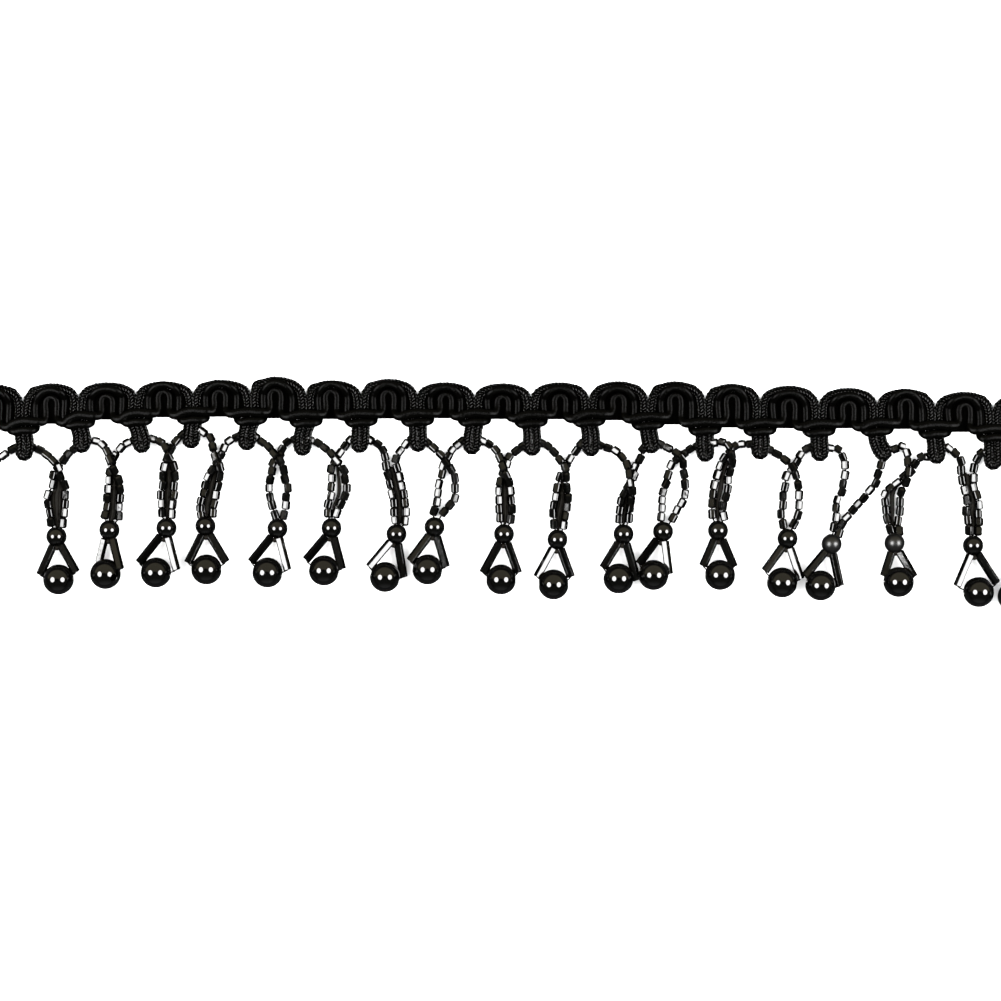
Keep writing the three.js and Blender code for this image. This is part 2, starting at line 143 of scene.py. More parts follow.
SCALLOPS = [
    Scallop(-5.5, 384, 6.8),
    Scallop(51.4, 383, 7),
    Scallop(107, 382, 6.7),
    Scallop(163.9, 381, 3.5),
    Scallop(219.9, 379.5, 4.2),
    Scallop(275.4, 376.3, 6.3),
    Scallop(331.1, 380, 3.7),
    Scallop(388.3, 378.5, 5.5),
    Scallop(445.7, 382, 5),
    Scallop(502.7, 383, 6.3),
    Scallop(560.1, 382, 6),
    Scallop(618.4, 381, 7),
    Scallop(675.2, 381, 6.6),
    Scallop(731.8, 383.5, 4.5),
    Scallop(789.1, 385.3, 7.3),
    Scallop(848.1, 387.5, 7.5),
    Scallop(905.5, 388.5, 3.6),
    Scallop(964.4, 391.5, 5.5),
    Scallop(1021, 394, 6),
]

DROPS = [
    Drop((56.5, 536.5), (58.5, 579.5), (40, 575), 2.6, (76, 572), 2.6),
    Drop((109.5, 530), (105.5, 574), (99, 562), 1.2, (120, 569), 3.6, -14, 0, 44),
    Drop((166.5, 528), (156, 572.5), (139, 563), 2.6, (176.5, 570), 2.6, 2, -14),
    Drop((205.5, 526), (206.5, 569.5), (188, 563), 2.6, (226, 562), 2.6),
    Drop((277.5, 528.5), (267.5, 572.5), (251, 562), 2.6, (287.5, 570), 2.6, -1, -15.5),
    Drop((331.5, 528), (324, 570.5), (306, 560), 2.6, (342, 569), 2.6, 1, -5),
    Drop((396.5, 534), (385, 577), (369, 567), 3.0, (403.5, 577), 1.2, 15.4, 3),
    Drop((434.5, 527), (427.5, 569.5), (410, 561), 3.0, (446, 567), 2.6, 0, -8),
    Drop((504, 534), (501, 579.5), (483, 573), 2.6, (518, 573), 2.6, 7, 1),
    Drop((557.5, 539.5), (553.5, 584.5), (537, 577), 2.6, (571, 577), 2.6, 15.8, 0),
    Drop((623.5, 534), (618.5, 578.5), (603, 568), 2.6, (637, 580), 2.0, 0, -10),
    Drop((663, 531.5), (653.5, 575), (639, 564), 2.2, (669, 574), 2.6, 1, -21),
    Drop((718, 530.5), (720, 575), (703, 566), 2.6, (734, 567), 2.6, 0, -9),
    Drop((787.5, 538.5), (782, 582.5), (765, 571), 2.6, (800.5, 579), 2.2, -6, -21),
    Drop((831.5, 544), (820.5, 585.5), (805, 576), 3.0, (840, 586), 2.6),
    Drop((894.5, 543), (898.5, 582), (884, 576), 2.6, (914, 577), 2.6, -4, -20.7),
    Drop((973, 545.5), (978.5, 592), (957, 586), 2.6, (996.5, 583), 1.6, 11.6, 0),
    Drop((1047, 565), (1013, 596.5), (1007, 579), 3.2, (1029, 607), 1.6),
]

# Seed beads of each drop from the left loop and from the right one, down to the small bead.
# The left strand passes over the right one where they cross.
LEFT_STRANDS: list[list[Place]] = [
    [(31, 447), (40, 450), (47, 455), (54, 461), (60, 468), (61, 476), (65, 485), (65, 495),
     (65, 504), (64, 513), (63, 523)],
    [(87, 441), (96, 441), (103, 445), (108, 452), (111, 460), (115, 470), (119, 480), (120, 489),
     (120, 498), (119, 507), (119, 516)],
    [(153, 439), (161, 442), (167, 448), (170, 457), (174, 466), (175, 476), (174, 486),
     (174, 495), (173, 504), (172, 514)],
    [(203, 432), (211, 438), (213, 447), (216, 457), (221, 467), (220, 476), (218, 486),
     (216, 495), (214, 504), (213, 513)],
    [(256, 437), (262, 442), (269, 447), (275, 454), (281, 461), (284, 470), (285, 479),
     (288, 488), (286, 497), (286, 505), (284, 515)],
    [(310, 440), (318, 443), (325, 448), (332, 454), (338, 461), (344, 470), (345, 479),
     (347, 488), (345, 496), (341, 504), (337, 513)],
    [(370, 440), (378, 444), (383, 450), (385, 457), (386, 466), (388, 475), (390, 484),
     (392, 494), (394, 503), (394, 512), (395, 520)],
    [(428, 443), (434, 448), (441, 455), (446, 462), (451, 469), (455, 478), (455, 488),
     (455, 498), (450, 505), (444, 512)],
    [(482, 441), (489, 444), (496, 450), (500, 458), (503, 467), (506, 475), (509, 482),
     (511, 491), (511, 500), (512, 509), (511, 519)],
    [(542, 443), (548, 446), (554, 452), (560, 460), (565, 468), (566, 477), (567, 488),
     (568, 498), (567, 507), (565, 516), (564, 525)],
    [(600, 445), (608, 448), (616, 451), (622, 457), (627, 465), (629, 474), (630, 483),
     (632, 491), (631, 500), (630, 508), (629, 518)],
    [(660, 444), (668, 448), (676, 453), (681, 457), (683, 464), (684, 474), (685, 484),
     (685, 494), (682, 503), (677, 510), (673, 518)],
    [(714, 443), (722, 442), (728, 446), (731, 455), (732, 463), (730, 472), (728, 480),
     (728, 489), (726, 497), (723, 506), (724, 516)],
    [(769, 449), (777, 454), (785, 460), (792, 467), (795, 475), (798, 485), (799, 495),
     (799, 505), (798, 515), (794, 524)],
    [(830, 448), (838, 449), (843, 457), (845, 465), (845, 475), (843, 484), (842, 492),
     (837, 500), (836, 508), (836, 517), (834, 527)],
    [(895, 449), (902, 446), (907, 453), (907, 462), (907, 472), (905, 482), (901, 492),
     (900, 502), (900, 511), (898, 521), (899, 531)],
    [(948, 448), (955, 453), (961, 461), (961, 470), (962, 480), (965, 490), (967, 500),
     (966, 511), (968, 520), (969, 530)],
    [(1001, 456), (1006, 463), (1010, 471), (1014, 480), (1018, 489), (1021, 499), (1026, 508),
     (1031, 517), (1035, 526), (1038, 535), (1041, 545), (1043, 552)],
]
RIGHT_STRANDS: list[list[Place]] = [
    [(74, 449), (68, 454), (64, 460), (58, 467), (53, 475), (53, 484), (48, 495), (48, 504),
     (50, 513), (51, 522)],
    [(134, 440), (127, 443), (121, 448), (115, 456), (112, 464), (110, 472), (109, 480),
     (108, 489), (107, 498), (107, 507), (105, 515)],
    [(182, 435), (176, 441), (171, 449), (167, 458), (164, 467), (163, 476), (163, 485),
     (161, 495), (162, 504), (162, 513)],
    [(237, 437), (229, 441), (224, 448), (221, 455), (217, 462), (212, 470), (208, 477),
     (205, 485), (204, 493), (201, 501), (200, 508), (201, 515)],
    [(295, 439), (287, 442), (282, 449), (280, 456), (273, 463), (272, 471), (270, 480),
     (269, 488), (270, 497), (272, 505), (275, 515)],
    [(350, 440), (345, 446), (340, 453), (335, 461), (331, 469), (332, 478), (331, 487),
     (331, 496), (328, 504), (328, 513)],
    [(412, 438), (406, 444), (400, 451), (396, 459), (397, 468), (400, 477), (402, 486),
     (404, 494), (405, 503), (406, 512), (405, 521)],
    [(462, 441), (457, 445), (452, 450), (448, 457), (443, 466), (442, 474), (439, 484),
     (438, 493), (437, 502), (434, 511)],
    [(523, 446), (516, 451), (509, 457), (507, 464), (503, 472), (500, 482), (499, 491),
     (499, 500), (499, 509), (500, 518)],
    [(581, 444), (576, 451), (570, 459), (566, 467), (560, 477), (557, 488), (556, 497),
     (554, 505), (553, 513), (554, 524)],
    [(650, 445), (643, 449), (640, 459), (635, 467), (634, 476), (628, 486), (624, 494),
     (621, 501), (620, 510), (619, 519)],
    [(697, 446), (690, 449), (684, 454), (677, 459), (671, 465), (668, 475), (666, 484),
     (663, 492), (662, 500), (662, 508), (661, 517)],
    [(750, 444), (742, 444), (735, 446), (730, 451), (724, 458), (720, 466), (717, 475),
     (714, 485), (713, 494), (712, 503), (712, 514)],
    [(811, 447), (806, 449), (800, 455), (797, 462), (792, 469), (786, 476), (785, 487),
     (783, 496), (783, 505), (781, 514), (783, 524)],
    [(883, 458), (881, 465), (878, 474), (876, 483), (870, 490), (864, 498), (858, 504),
     (853, 510), (847, 517), (842, 524), (839, 533)],
    [(927, 457), (921, 457), (915, 464), (911, 472), (904, 476), (897, 483), (890, 488),
     (885, 494), (885, 502), (886, 510), (887, 519), (890, 529)],
    [(985, 453), (981, 453), (977, 459), (974, 468), (974, 478), (974, 487), (977, 495),
     (979, 505), (978, 514), (979, 522), (978, 531)],
    [(1052, 474), (1054, 483), (1055, 492), (1055, 502), (1055, 511), (1054, 520), (1053, 530),
     (1052, 540), (1051, 550)],
]

# Share of the gap between the two strands of each drop that loose yarn fills; the yarn also paints the
# shade that falls in that gap
YARN_AND_SHADE_FILL = [1.0, 1.0, 1.0, 0.6, 0, 0.3, 1.0, 0, 1.0, 1.0, 1.0, 0, 0.5, 0, 0, 0.4, 1.0, 0]

# Beads past the first and the last loop, out to the knot that holds them
CUT_ENDS: list[list[Place]] = [
    [(13, 449), (4, 455), (-4, 461), (-11, 466)],
    [(1062, 465), (1070, 470), (1078, 475), (1086, 480)],
]


@dataclass(frozen=True)
class Lay:
    """Turns table places into places in the part's frame.

    Attributes:
        shift: Where the middle of the table lies in the part's frame.
    """

    shift: Vector

    def at(self, place: Place, level: float) -> Vector:
        """Finds a place in the part's frame.

        Args:
            place: Table steps to the right and down.
            level: Height above the table.

        Returns:
            The place.
        """
        step = STEP * (1 - level / VIEW_HEIGHT)
        x, y = place
        return Vector(((x - DATUM) * step, (DATUM - y) * step, level)) + self.shift

    @classmethod
    def from_frame(cls) -> "Lay":
        """Lines the table up with the frame, by the large bead of the ninth drop.

        Returns:
            The lay.
        """
        low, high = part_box("large_bead_09")
        middle = (low + high) / 2
        bare = cls(Vector()).at(DROPS[8].large, middle.z)
        return cls(Vector((middle.x - bare.x, middle.y - bare.y, 0.0)))


def smooth_course(points: Sequence[Vector], spacing: float) -> np.ndarray:
    """Runs a smooth line through points and samples it evenly.

    The line rises and falls only between points, never past them.

    Args:
        points: Places that the line passes through, in order.
        spacing: Distance between two samples.

    Returns:
        The samples, one row each.
    """
    per_knot = 12
    knots = np.array([tuple(p) for p in points])
    reach = np.linalg.norm(np.diff(knots, axis=0), axis=1)
    along = np.concatenate([[0.0], np.cumsum(reach)])
    slopes = np.gradient(knots, along, axis=0)
    rise = np.diff(knots[:, 2]) / reach
    product, total = rise[:-1] * rise[1:], rise[:-1] + rise[1:]
    slopes[1:-1, 2] = np.where(product > 0, 2 * product / np.where(total == 0, 1, total), 0)
    fine = np.linspace(0.0, along[-1], per_knot * len(knots))
    left = np.clip(np.searchsorted(along, fine, side="right") - 1, 0, len(along) - 2)
    span = (along[left + 1] - along[left])[:, None]
    share = (fine - along[left])[:, None] / span
    line = (
        (2 * share**3 - 3 * share**2 + 1) * knots[left]
        + (share**3 - 2 * share**2 + share) * span * slopes[left]
        + (3 * share**2 - 2 * share**3) * knots[left + 1]
        + (share**3 - share**2) * span * slopes[left + 1]
    )
    steps = np.linalg.norm(np.diff(line, axis=0), axis=1)
    length = np.concatenate([[0.0], np.cumsum(steps)])
    even = np.linspace(0.0, length[-1], max(2, round(length[-1] / spacing) + 1))
    return np.stack([np.interp(even, length, line[:, k]) for k in range(3)], axis=1)


def level_axes(course: np.ndarray) -> tuple[np.ndarray, np.ndarray, np.ndarray]:
    """Works out a course's own axes, kept level across.

    Args:
        course: Places along the course, one row each.

    Returns:
        The unit directions along, across and up at each place.
    """
    ways = np.gradient(course, axis=0)
    ways /= np.linalg.norm(ways, axis=1)[:, None]
    across = np.cross(np.array(UP), ways)
    across /= np.linalg.norm(across, axis=1)[:, None]
    return ways, across, np.cross(ways, across)


def level_turn(way: Vector) -> Matrix:
    """Turns X along a direction and keeps Y level.

    Args:
        way: The direction.

    Returns:
        The turn.
    """
    along = way.normalized()
    across = UP.cross(along).normalized()
    return Matrix((along, across, along.cross(across))).transposed().to_4x4()


def placed(name: str, data: ID) -> Object:
    """Puts a mesh, a light or a camera into the scene.

    Args:
        name: Name of the object.
        data: What it shows.

    Returns:
        The object.
    """
    made = bpy.data.objects.new(name, data)
    bpy.context.scene.collection.objects.link(made)
    return made


def finished_piece(mesh: Mesh, finish: Material, stands_for: Sequence[str] = ()) -> None:
    """Makes a piece of a mesh, under its name, dresses it and sets it on the frame.

    Args:
        mesh: The mesh, in the part's frame.
        finish: Material of the piece.
        stands_for: Solids of the frame that the piece replaces.
    """
    piece = placed(mesh.name, mesh)
    mesh.materials.append(finish)
    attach(piece, "root")
    if stands_for:
        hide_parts(*stands_for)
    log.info("%s: %d faces, for %d solids", piece.name, len(mesh.polygons), len(stands_for))


def smooth_mesh(name: str, bm: BMesh) -> Mesh:
    """Makes a smooth mesh of what was built.

    Args:
        name: Name of the mesh.
        bm: What was built, freed here.

    Returns:
        The mesh.
    """
    mesh = bpy.data.meshes.new(name)
    bm.to_mesh(mesh)
    bm.free()
    mesh.shade_smooth()
    return mesh


def rolled_tube(name: str, course: np.ndarray, sides: int, wide: Size, high: Size,
                square: Size = 2.0) -> Mesh:
    """Rolls a grid into a closed tube of oval section along a course.

    Its UV map counts metres along the course and turns round it. The width, height and power are
    given for each place on the course, or once for all.

    Args:
        name: Name of the mesh.
        course: Places along the middle of the tube, one row each.
        sides: Number of sides of the section.
        wide: Width of the tube.
        high: Height of the tube.
        square: Power of the section: 2 for an oval, more for a squarer one.

    Returns:
        The mesh.
    """
    def pressed(value: float, power: float) -> float:
        """Moves a sine or cosine out to the section's own power."""
        return math.copysign(abs(value) ** (2 / power), value)

    rings = len(course)
    widths, heights, powers = (np.broadcast_to(size, rings) for size in (wide, high, square))
    _, across, upwards = level_axes(course)
    length = float(np.linalg.norm(np.diff(course, axis=0), axis=1).sum())
    bm = bmesh.new()
    uv = bm.loops.layers.uv.new("UVMap")
    bmesh.ops.create_grid(bm, x_segments=rings - 1, y_segments=sides, size=0.5, calc_uvs=True)
    for vert in bm.verts:
        i = round((vert.co.x + 0.5) * (rings - 1))
        turn = math.tau * round((vert.co.y + 0.5) * sides) / sides
        vert.co = (course[i] + across[i] * (0.5 * widths[i] * pressed(math.sin(turn), powers[i]))
                   + upwards[i] * (0.5 * heights[i] * pressed(math.cos(turn), powers[i])))
    for face in bm.faces:
        for loop in face.loops:
            loop[uv].uv.x *= length
    bmesh.ops.remove_doubles(bm, verts=bm.verts, dist=MERGE)
    bmesh.ops.holes_fill(bm, edges=[e for e in bm.edges if e.is_boundary], sides=0)
    bmesh.ops.recalc_face_normals(bm, faces=bm.faces)
    return smooth_mesh(name, bm)


def add_tube(bm: BMesh, course: np.ndarray, sides: int, wide: Size, high: Size) -> None:
    """Adds a rolled tube to a mesh that is being built.

    Args:
        bm: The mesh.
        course: Places along the middle of the tube, one row each.
        sides: Number of sides of the section.
        wide: Width of the tube, at each place or once for all.
        high: Height of the tube, likewise.
    """
    tube = rolled_tube("run", course, sides, wide, high)
    bm.from_mesh(tube)
    bpy.data.meshes.remove(tube)


def stamped(name: str, shape: BMesh, places: Sequence[Matrix], smooth: bool,
            dull: Sequence[int] = ()) -> Mesh:
    """Stamps one small shape at many places, as a single mesh.

    Each stamp has its own tone from 0 to 1, in the attribute "tone".

    Args:
        name: Name of the mesh.
        shape: The shape, freed here.
        places: Transform of each stamp.
        smooth: Whether the stamps are smooth all over.
        dull: Which stamps have the full tone. The others then have half of theirs.

    Returns:
        The mesh.
    """
    bmesh.ops.recalc_face_normals(shape, faces=shape.faces)
    shape.verts.index_update()
    corners = np.array([tuple(v.co) + (1.0,) for v in shape.verts])
    faces = [[v.index for v in f.verts] for f in shape.faces]
    shape.free()
    turns = np.array([[tuple(row) for row in place] for place in places])
    spots = np.einsum("kij,vj->kvi", turns, corners)[:, :, :3].reshape(-1, 3)
    size = len(corners)
    copies = [[corner + k * size for corner in face] for k in range(len(places)) for face in faces]
    mesh = bpy.data.meshes.new(name)
    mesh.from_pydata(spots.tolist(), [], copies)
    tones = np.random.default_rng(len(places)).random(len(places))
    if dull:
        tones *= 0.5
        tones[list(dull)] = 1.0
    tone = mesh.attributes.new("tone", "FLOAT", "POINT")
    tone.data.foreach_set("value", np.repeat(tones, size).astype(np.float32))
    if smooth:
        mesh.shade_smooth()
    return mesh


def spun(outline: Sequence[tuple[float, float]], steps: int) -> BMesh:
    """Spins a closed outline about X.

    Args:
        outline: Places, each as its distance along X and out from it.
        steps: Steps of the spin.

    Returns:
        The shape, about the origin.
    """
    bm = bmesh.new()
    verts = [bm.verts.new((x, 0.0, z)) for x, z in outline]
    edges = [bm.edges.new((a, b)) for a, b in zip(verts, verts[1:] + verts[:1])]
    bmesh.ops.spin(bm, geom=verts + edges, cent=(0, 0, 0), axis=(1, 0, 0), dvec=(0, 0, 0),
                   angle=math.tau, steps=steps, use_merge=True, use_duplicate=False)
    bmesh.ops.remove_doubles(bm, verts=bm.verts, dist=MERGE)
    return bm


@dataclass(frozen=True)
class CutTube:
    """A glass tube with six flat sides, chamfered ends and a hole.

    Attributes:
        radius: Distance from its axis to an edge between two sides.
        length: Length of the tube.
        hole: Radius of the hole.
        lip: Depth of the chamfer at its ends.
        edge: Width of the bevel between two sides.
        slope: Length of the chamfer, as a share of its depth.
    """

    radius: float
    length: float
    hole: float
    lip: float
    edge: float
    slope: float = 0.75

    def shape(self) -> BMesh:
        """Spins and bevels the tube.

        Returns:
            The tube, about the origin and along X, with one side facing up.
        """
        half, sides = self.length / 2, 6
        rim = [(half, self.hole), (half, self.radius - self.lip),
               (half - self.slope * self.lip, self.radius)]
        bm = spun([(-x, z) for x, z in rim] + rim[::-1], sides)
        ridges = [e for e in bm.edges
                  if abs(e.verts[0].co.x - e.verts[1].co.x) > MERGE
                  and min(v.co.yz.length for v in e.verts) > self.radius - 1.01 * self.lip]
        bmesh.ops.bevel(bm, geom=ridges, affect="EDGES", offset=self.edge, segments=2,
                        profile=0.5, material=-1)
        bmesh.ops.rotate(bm, verts=bm.verts, cent=(0, 0, 0),
                         matrix=Matrix.Rotation(math.pi / sides, 3, "X"))
        bmesh.ops.recalc_face_normals(bm, faces=bm.faces)
        return bm


class Glass(Enum):
    """The cuts of glass on the trim."""

    SEED = "seed_bead"
    ROUND = "round_bead"
    BUGLE = "bugle_bead"


def feed(node: Node, inputs: dict[str | int, object]) -> None:
    """Gives a shader node its inputs.

    Args:
        node: The node.
        inputs: For each input, its value or the socket that feeds it.
    """
    for key, value in inputs.items():
        if isinstance(value, NodeSocket):
            node.id_data.links.new(value, node.inputs[key])
        else:
            node.inputs[key].default_value = value


def add_node(tree: NodeTree, kind: str, inputs: dict[str | int, object] | None = None,
             **values: object) -> NodeOutputs:
    """Adds a shader node.

    Args:
        tree: The node tree.
        kind: Blender's name of the node type.
        inputs: For each input, its value or the socket that feeds it.
        values: Properties of the node.

    Returns:
        Its outputs.
    """
    made = tree.nodes.new(kind)
    for key, value in values.items():
        setattr(made, key, value)
    feed(made, inputs or {})
    return made.outputs


def worked(tree: NodeTree, operation: str, *values: object) -> NodeSocket:
    """Adds a math node on sockets and numbers, and gives its result."""
    return add_node(tree, "ShaderNodeMath", dict(enumerate(values)), operation=operation)[0]


def noise(tree: NodeTree, place: NodeSocket, scale: float, detail: float) -> NodeSocket:
    """Adds a noise texture, and gives its strength."""
    inputs = {"Vector": place, "Scale": scale, "Detail": detail}
    return add_node(tree, "ShaderNodeTexNoise", inputs)["Fac"]


def blend(tree: NodeTree, share: object, first: object, second: object) -> NodeSocket:
    """Adds a blend of two colours, and gives its result."""
    inputs = {"Factor": share, "A": first, "B": second}
    return add_node(tree, "ShaderNodeMix", inputs, data_type="RGBA")["Result"]


def new_group(name: str, vectors: Sequence[str], colours: Sequence[str],
              numbers: Sequence[str]) -> tuple[NodeTree, NodeOutputs, Node]:
    """Starts the node group of a finish, which gives a colour, a roughness and a height.

    Args:
        name: Name of the group.
        vectors: Names of its inputs that are vectors.
        colours: Names of its inputs that are colours.
        numbers: Names of its inputs that are numbers.

    Returns:
        The group, the sockets that carry its inputs and the node that takes its results.
    """
    tree = bpy.data.node_groups.new(name, "ShaderNodeTree")
    for kind, keys in (("Vector", vectors), ("Color", colours), ("Float", numbers)):
        for key in keys:
            tree.interface.new_socket(key, in_out="INPUT", socket_type=f"NodeSocket{kind}")
    for key, kind in (("Color", "Color"), ("Roughness", "Float"), ("Height", "Float")):
        tree.interface.new_socket(key, in_out="OUTPUT", socket_type=f"NodeSocket{kind}")
    return tree, tree.nodes.new("NodeGroupInput").outputs, tree.nodes.new("NodeGroupOutput")


def polish_group() -> NodeTree:
    """Builds the polish of pressed glass: faint waves, wiped dust and a tone for each bead.

    Returns:
        The group.
    """
    tree, given, out = new_group("glass_polish", ["Place"], ["Glass", "Bloom"],
                                 ["Gloss", "Wear", "Frost"])
    tone = add_node(tree, "ShaderNodeAttribute", attribute_name="tone")["Fac"]
    waves = noise(tree, given["Place"], scale=900.0, detail=2.0)
    dust = noise(tree, given["Place"], scale=4200.0, detail=3.0)
    specks = add_node(tree, "ShaderNodeMapRange",
                      {"Value": dust, "From Min": 0.55, "From Max": 0.85})["Result"]
    wear = worked(tree, "MULTIPLY", specks, given["Wear"])
    rough = worked(tree, "ADD", given["Gloss"], wear)
    rarely = worked(tree, "POWER", tone, 2.5)
    feed(out, {
        "Color": blend(tree, worked(tree, "MULTIPLY", tone, waves), given["Glass"], given["Bloom"]),
        "Roughness": worked(tree, "MULTIPLY_ADD", rarely, given["Frost"], rough),
        "Height": waves,
    })
    return tree


def yarn_group() -> NodeTree:
    """Builds the lie of fine filament: turns that cross the cord's length, and uneven sheen.

    Returns:
        The group.
    """
    tree, given, out = new_group("filament_lie", ["Place"], ["Dark", "Light"],
                                 ["Along", "Round", "Pitch", "Sleek", "Dull"])
    turns = worked(tree, "DIVIDE", given["Along"], given["Pitch"])
    lean = worked(tree, "ADD", turns, given["Round"])
    ridge = worked(tree, "SINE", worked(tree, "MULTIPLY", lean, math.tau))
    laid = add_node(tree, "ShaderNodeCombineXYZ", {"X": lean, "Y": given["Round"]})["Vector"]
    pull = noise(tree, laid, scale=0.45, detail=3.0)
    fluff = noise(tree, given["Place"], scale=1500.0, detail=4.0)
    sheen = {"Value": fluff, "To Min": given["Sleek"], "To Max": given["Dull"]}
    feed(out, {
        "Color": blend(tree, fluff, given["Dark"], given["Light"]),
        "Roughness": add_node(tree, "ShaderNodeMapRange", sheen)["Result"],
        "Height": worked(tree, "MULTIPLY_ADD", ridge, 0.12, pull),
    })
    return tree


class Shader:
    """A material whose surface is a Principled shader."""

    def __init__(self, name: str) -> None:
        """Starts the material.

        Args:
            name: Name of the material.
        """
        self.material = bpy.data.materials.new(name)
        self.material.use_nodes = True
        self.tree = self.material.node_tree
        self.surface = self.tree.nodes["Principled BSDF"]

    def dress(self, group: NodeTree, inputs: dict[str, object], mirror: float, relief: float,
              strength: float) -> Material:
        """Dresses the surface in a finish.

        Args:
            group: The finish's node group.
            inputs: For each of its inputs, the value or the socket that feeds it.
            mirror: Specular level of the surface.
            relief: Height of a full bump.
            strength: Share of the bumps that shows.

        Returns:
            The material.
        """
        looks = add_node(self.tree, "ShaderNodeGroup", inputs, node_tree=group)
        bumps = {"Height": looks["Height"], "Distance": relief, "Strength": strength}
        feed(self.surface, {"Base Color": looks["Color"], "Roughness": looks["Roughness"],
                            "Specular IOR Level": mirror,
                            "Normal": add_node(self.tree, "ShaderNodeBump", bumps)["Normal"]})
        return self.material


@dataclass(frozen=True)
class GlassFinish:
    """Black glass in one of its cuts.

    Attributes:
        cut: Which beads wear it.
        glass: Colour of the glass.
        bloom: Colour of its lightest beads.
        gloss: Roughness of the polish.
        wear: Roughness that dust adds.
        frost: Roughness that the dullest bead has on top of it.
        mirror: Specular level of the surface.
        waves: Height of the faint waves left by the press.
        strength: Share of them that shows.
    """

    cut: Glass
    glass: Colour = (0.0001, 0.0001, 0.0001, 1.0)
    bloom: Colour = (0.0004, 0.0004, 0.0003, 1.0)
    gloss: float = 0.05
    wear: float = 0.08
    frost: float = 0.0
    mirror: float = 0.5
    waves: float = 0.00002
    strength: float = 0.5

    def material(self, polish: NodeTree) -> Material:
        """Builds the material.

        Args:
            polish: The node group for polished glass.

        Returns:
            The material.
        """
        shader = Shader(f"black_glass_{self.cut.value}")
        place = add_node(shader.tree, "ShaderNodeTexCoord")["Object"]
        inputs = {"Place": place, "Glass": self.glass, "Bloom": self.bloom, "Gloss": self.gloss,
                  "Wear": self.wear, "Frost": self.frost}
        return shader.dress(polish, inputs, self.mirror, self.waves, self.strength)


@dataclass(frozen=True)
class CordFinish:
    """Black filament yarn, wrapped or braided.

    Attributes:
        name: Name of the finish.
        dark: Colour between the filaments.
        light: Colour on top of them.
        pitch: Distance between two turns of the wrap.
        relief: Height of a turn.
        strength: Share of it that shows.
        mirror: Specular level of the filaments.
        sleek: Roughness where they lie smoothest.
        dull: Roughness where they lie loosest.
    """

    name: str
    dark: Colour = (0.0001, 0.0001, 0.0001, 1.0)
    light: Colour = (0.0004, 0.0004, 0.0003, 1.0)
    pitch: float = 0.00016
    relief: float = 0.00006
    strength: float = 0.7
    mirror: float = 0.034
    sleek: float = 0.16
    dull: float = 0.26

    def material(self, yarn: NodeTree) -> Material:
        """Builds the material.

        Args:
            yarn: The node group for filament yarn.

        Returns:
            The material.
        """
        shader = Shader(self.name)
        place = add_node(shader.tree, "ShaderNodeTexCoord")["Object"]
        uv = add_node(shader.tree, "ShaderNodeUVMap", uv_map="UVMap")["UV"]
        parts = add_node(shader.tree, "ShaderNodeSeparateXYZ", {"Vector": uv})
        inputs = {"Place": place, "Along": parts["X"], "Round": parts["Y"], "Pitch": self.pitch,
                  "Dark": self.dark, "Light": self.light, "Sleek": self.sleek, "Dull": self.dull}
        return shader.dress(yarn, inputs, self.mirror, self.relief, self.strength)


class Ring(NamedTuple):
    """One place on a cord's course, in table steps, with its level and share of flattening."""

    x: float
    y: float
    level: float
    flat: float = 0.0


def arch(left: Place | None, crown: Place, right: Place,
         level: Callable[[float], float]) -> list[Ring]:
    """Lays a cord over a scallop as two quarter ellipses.

    Args:
        left: Left foot. None stands for a cord that is cut at the crown.
        crown: Top of the arch.
        right: Right foot.
        level: Height of the cord for a turn in degrees, 0 at the feet and 90 at the crown.

    Returns:
        The rings from left to right.
    """
    def quarter(foot: Place) -> list[Ring]:
        """Lays the quarter between a foot and the crown."""
        spots = [(math.cos(math.radians(t)), math.sin(math.radians(t)), t) for t in range(0, 90, 18)]
        return [Ring(crown[0] + (foot[0] - crown[0]) * c, foot[1] + (crown[1] - foot[1]) * s,
                     level(t)) for c, s, t in spots]

    rise = quarter(left) if left else []
    return [*rise, Ring(*crown, level(90)), *reversed(quarter(right))]


def bays() -> list[tuple[Scallop, Valley | None, Valley]]:
    """Pairs each scallop with the valleys before and after it."""
    return list(zip(SCALLOPS, [None, *VALLEYS[:-1]], VALLEYS))


def mixed(low: float, high: float, share: float) -> float:
    """Mixes two values by a share from 0 to 1."""
    return low + (high - low) * min(1.0, max(0.0, share))


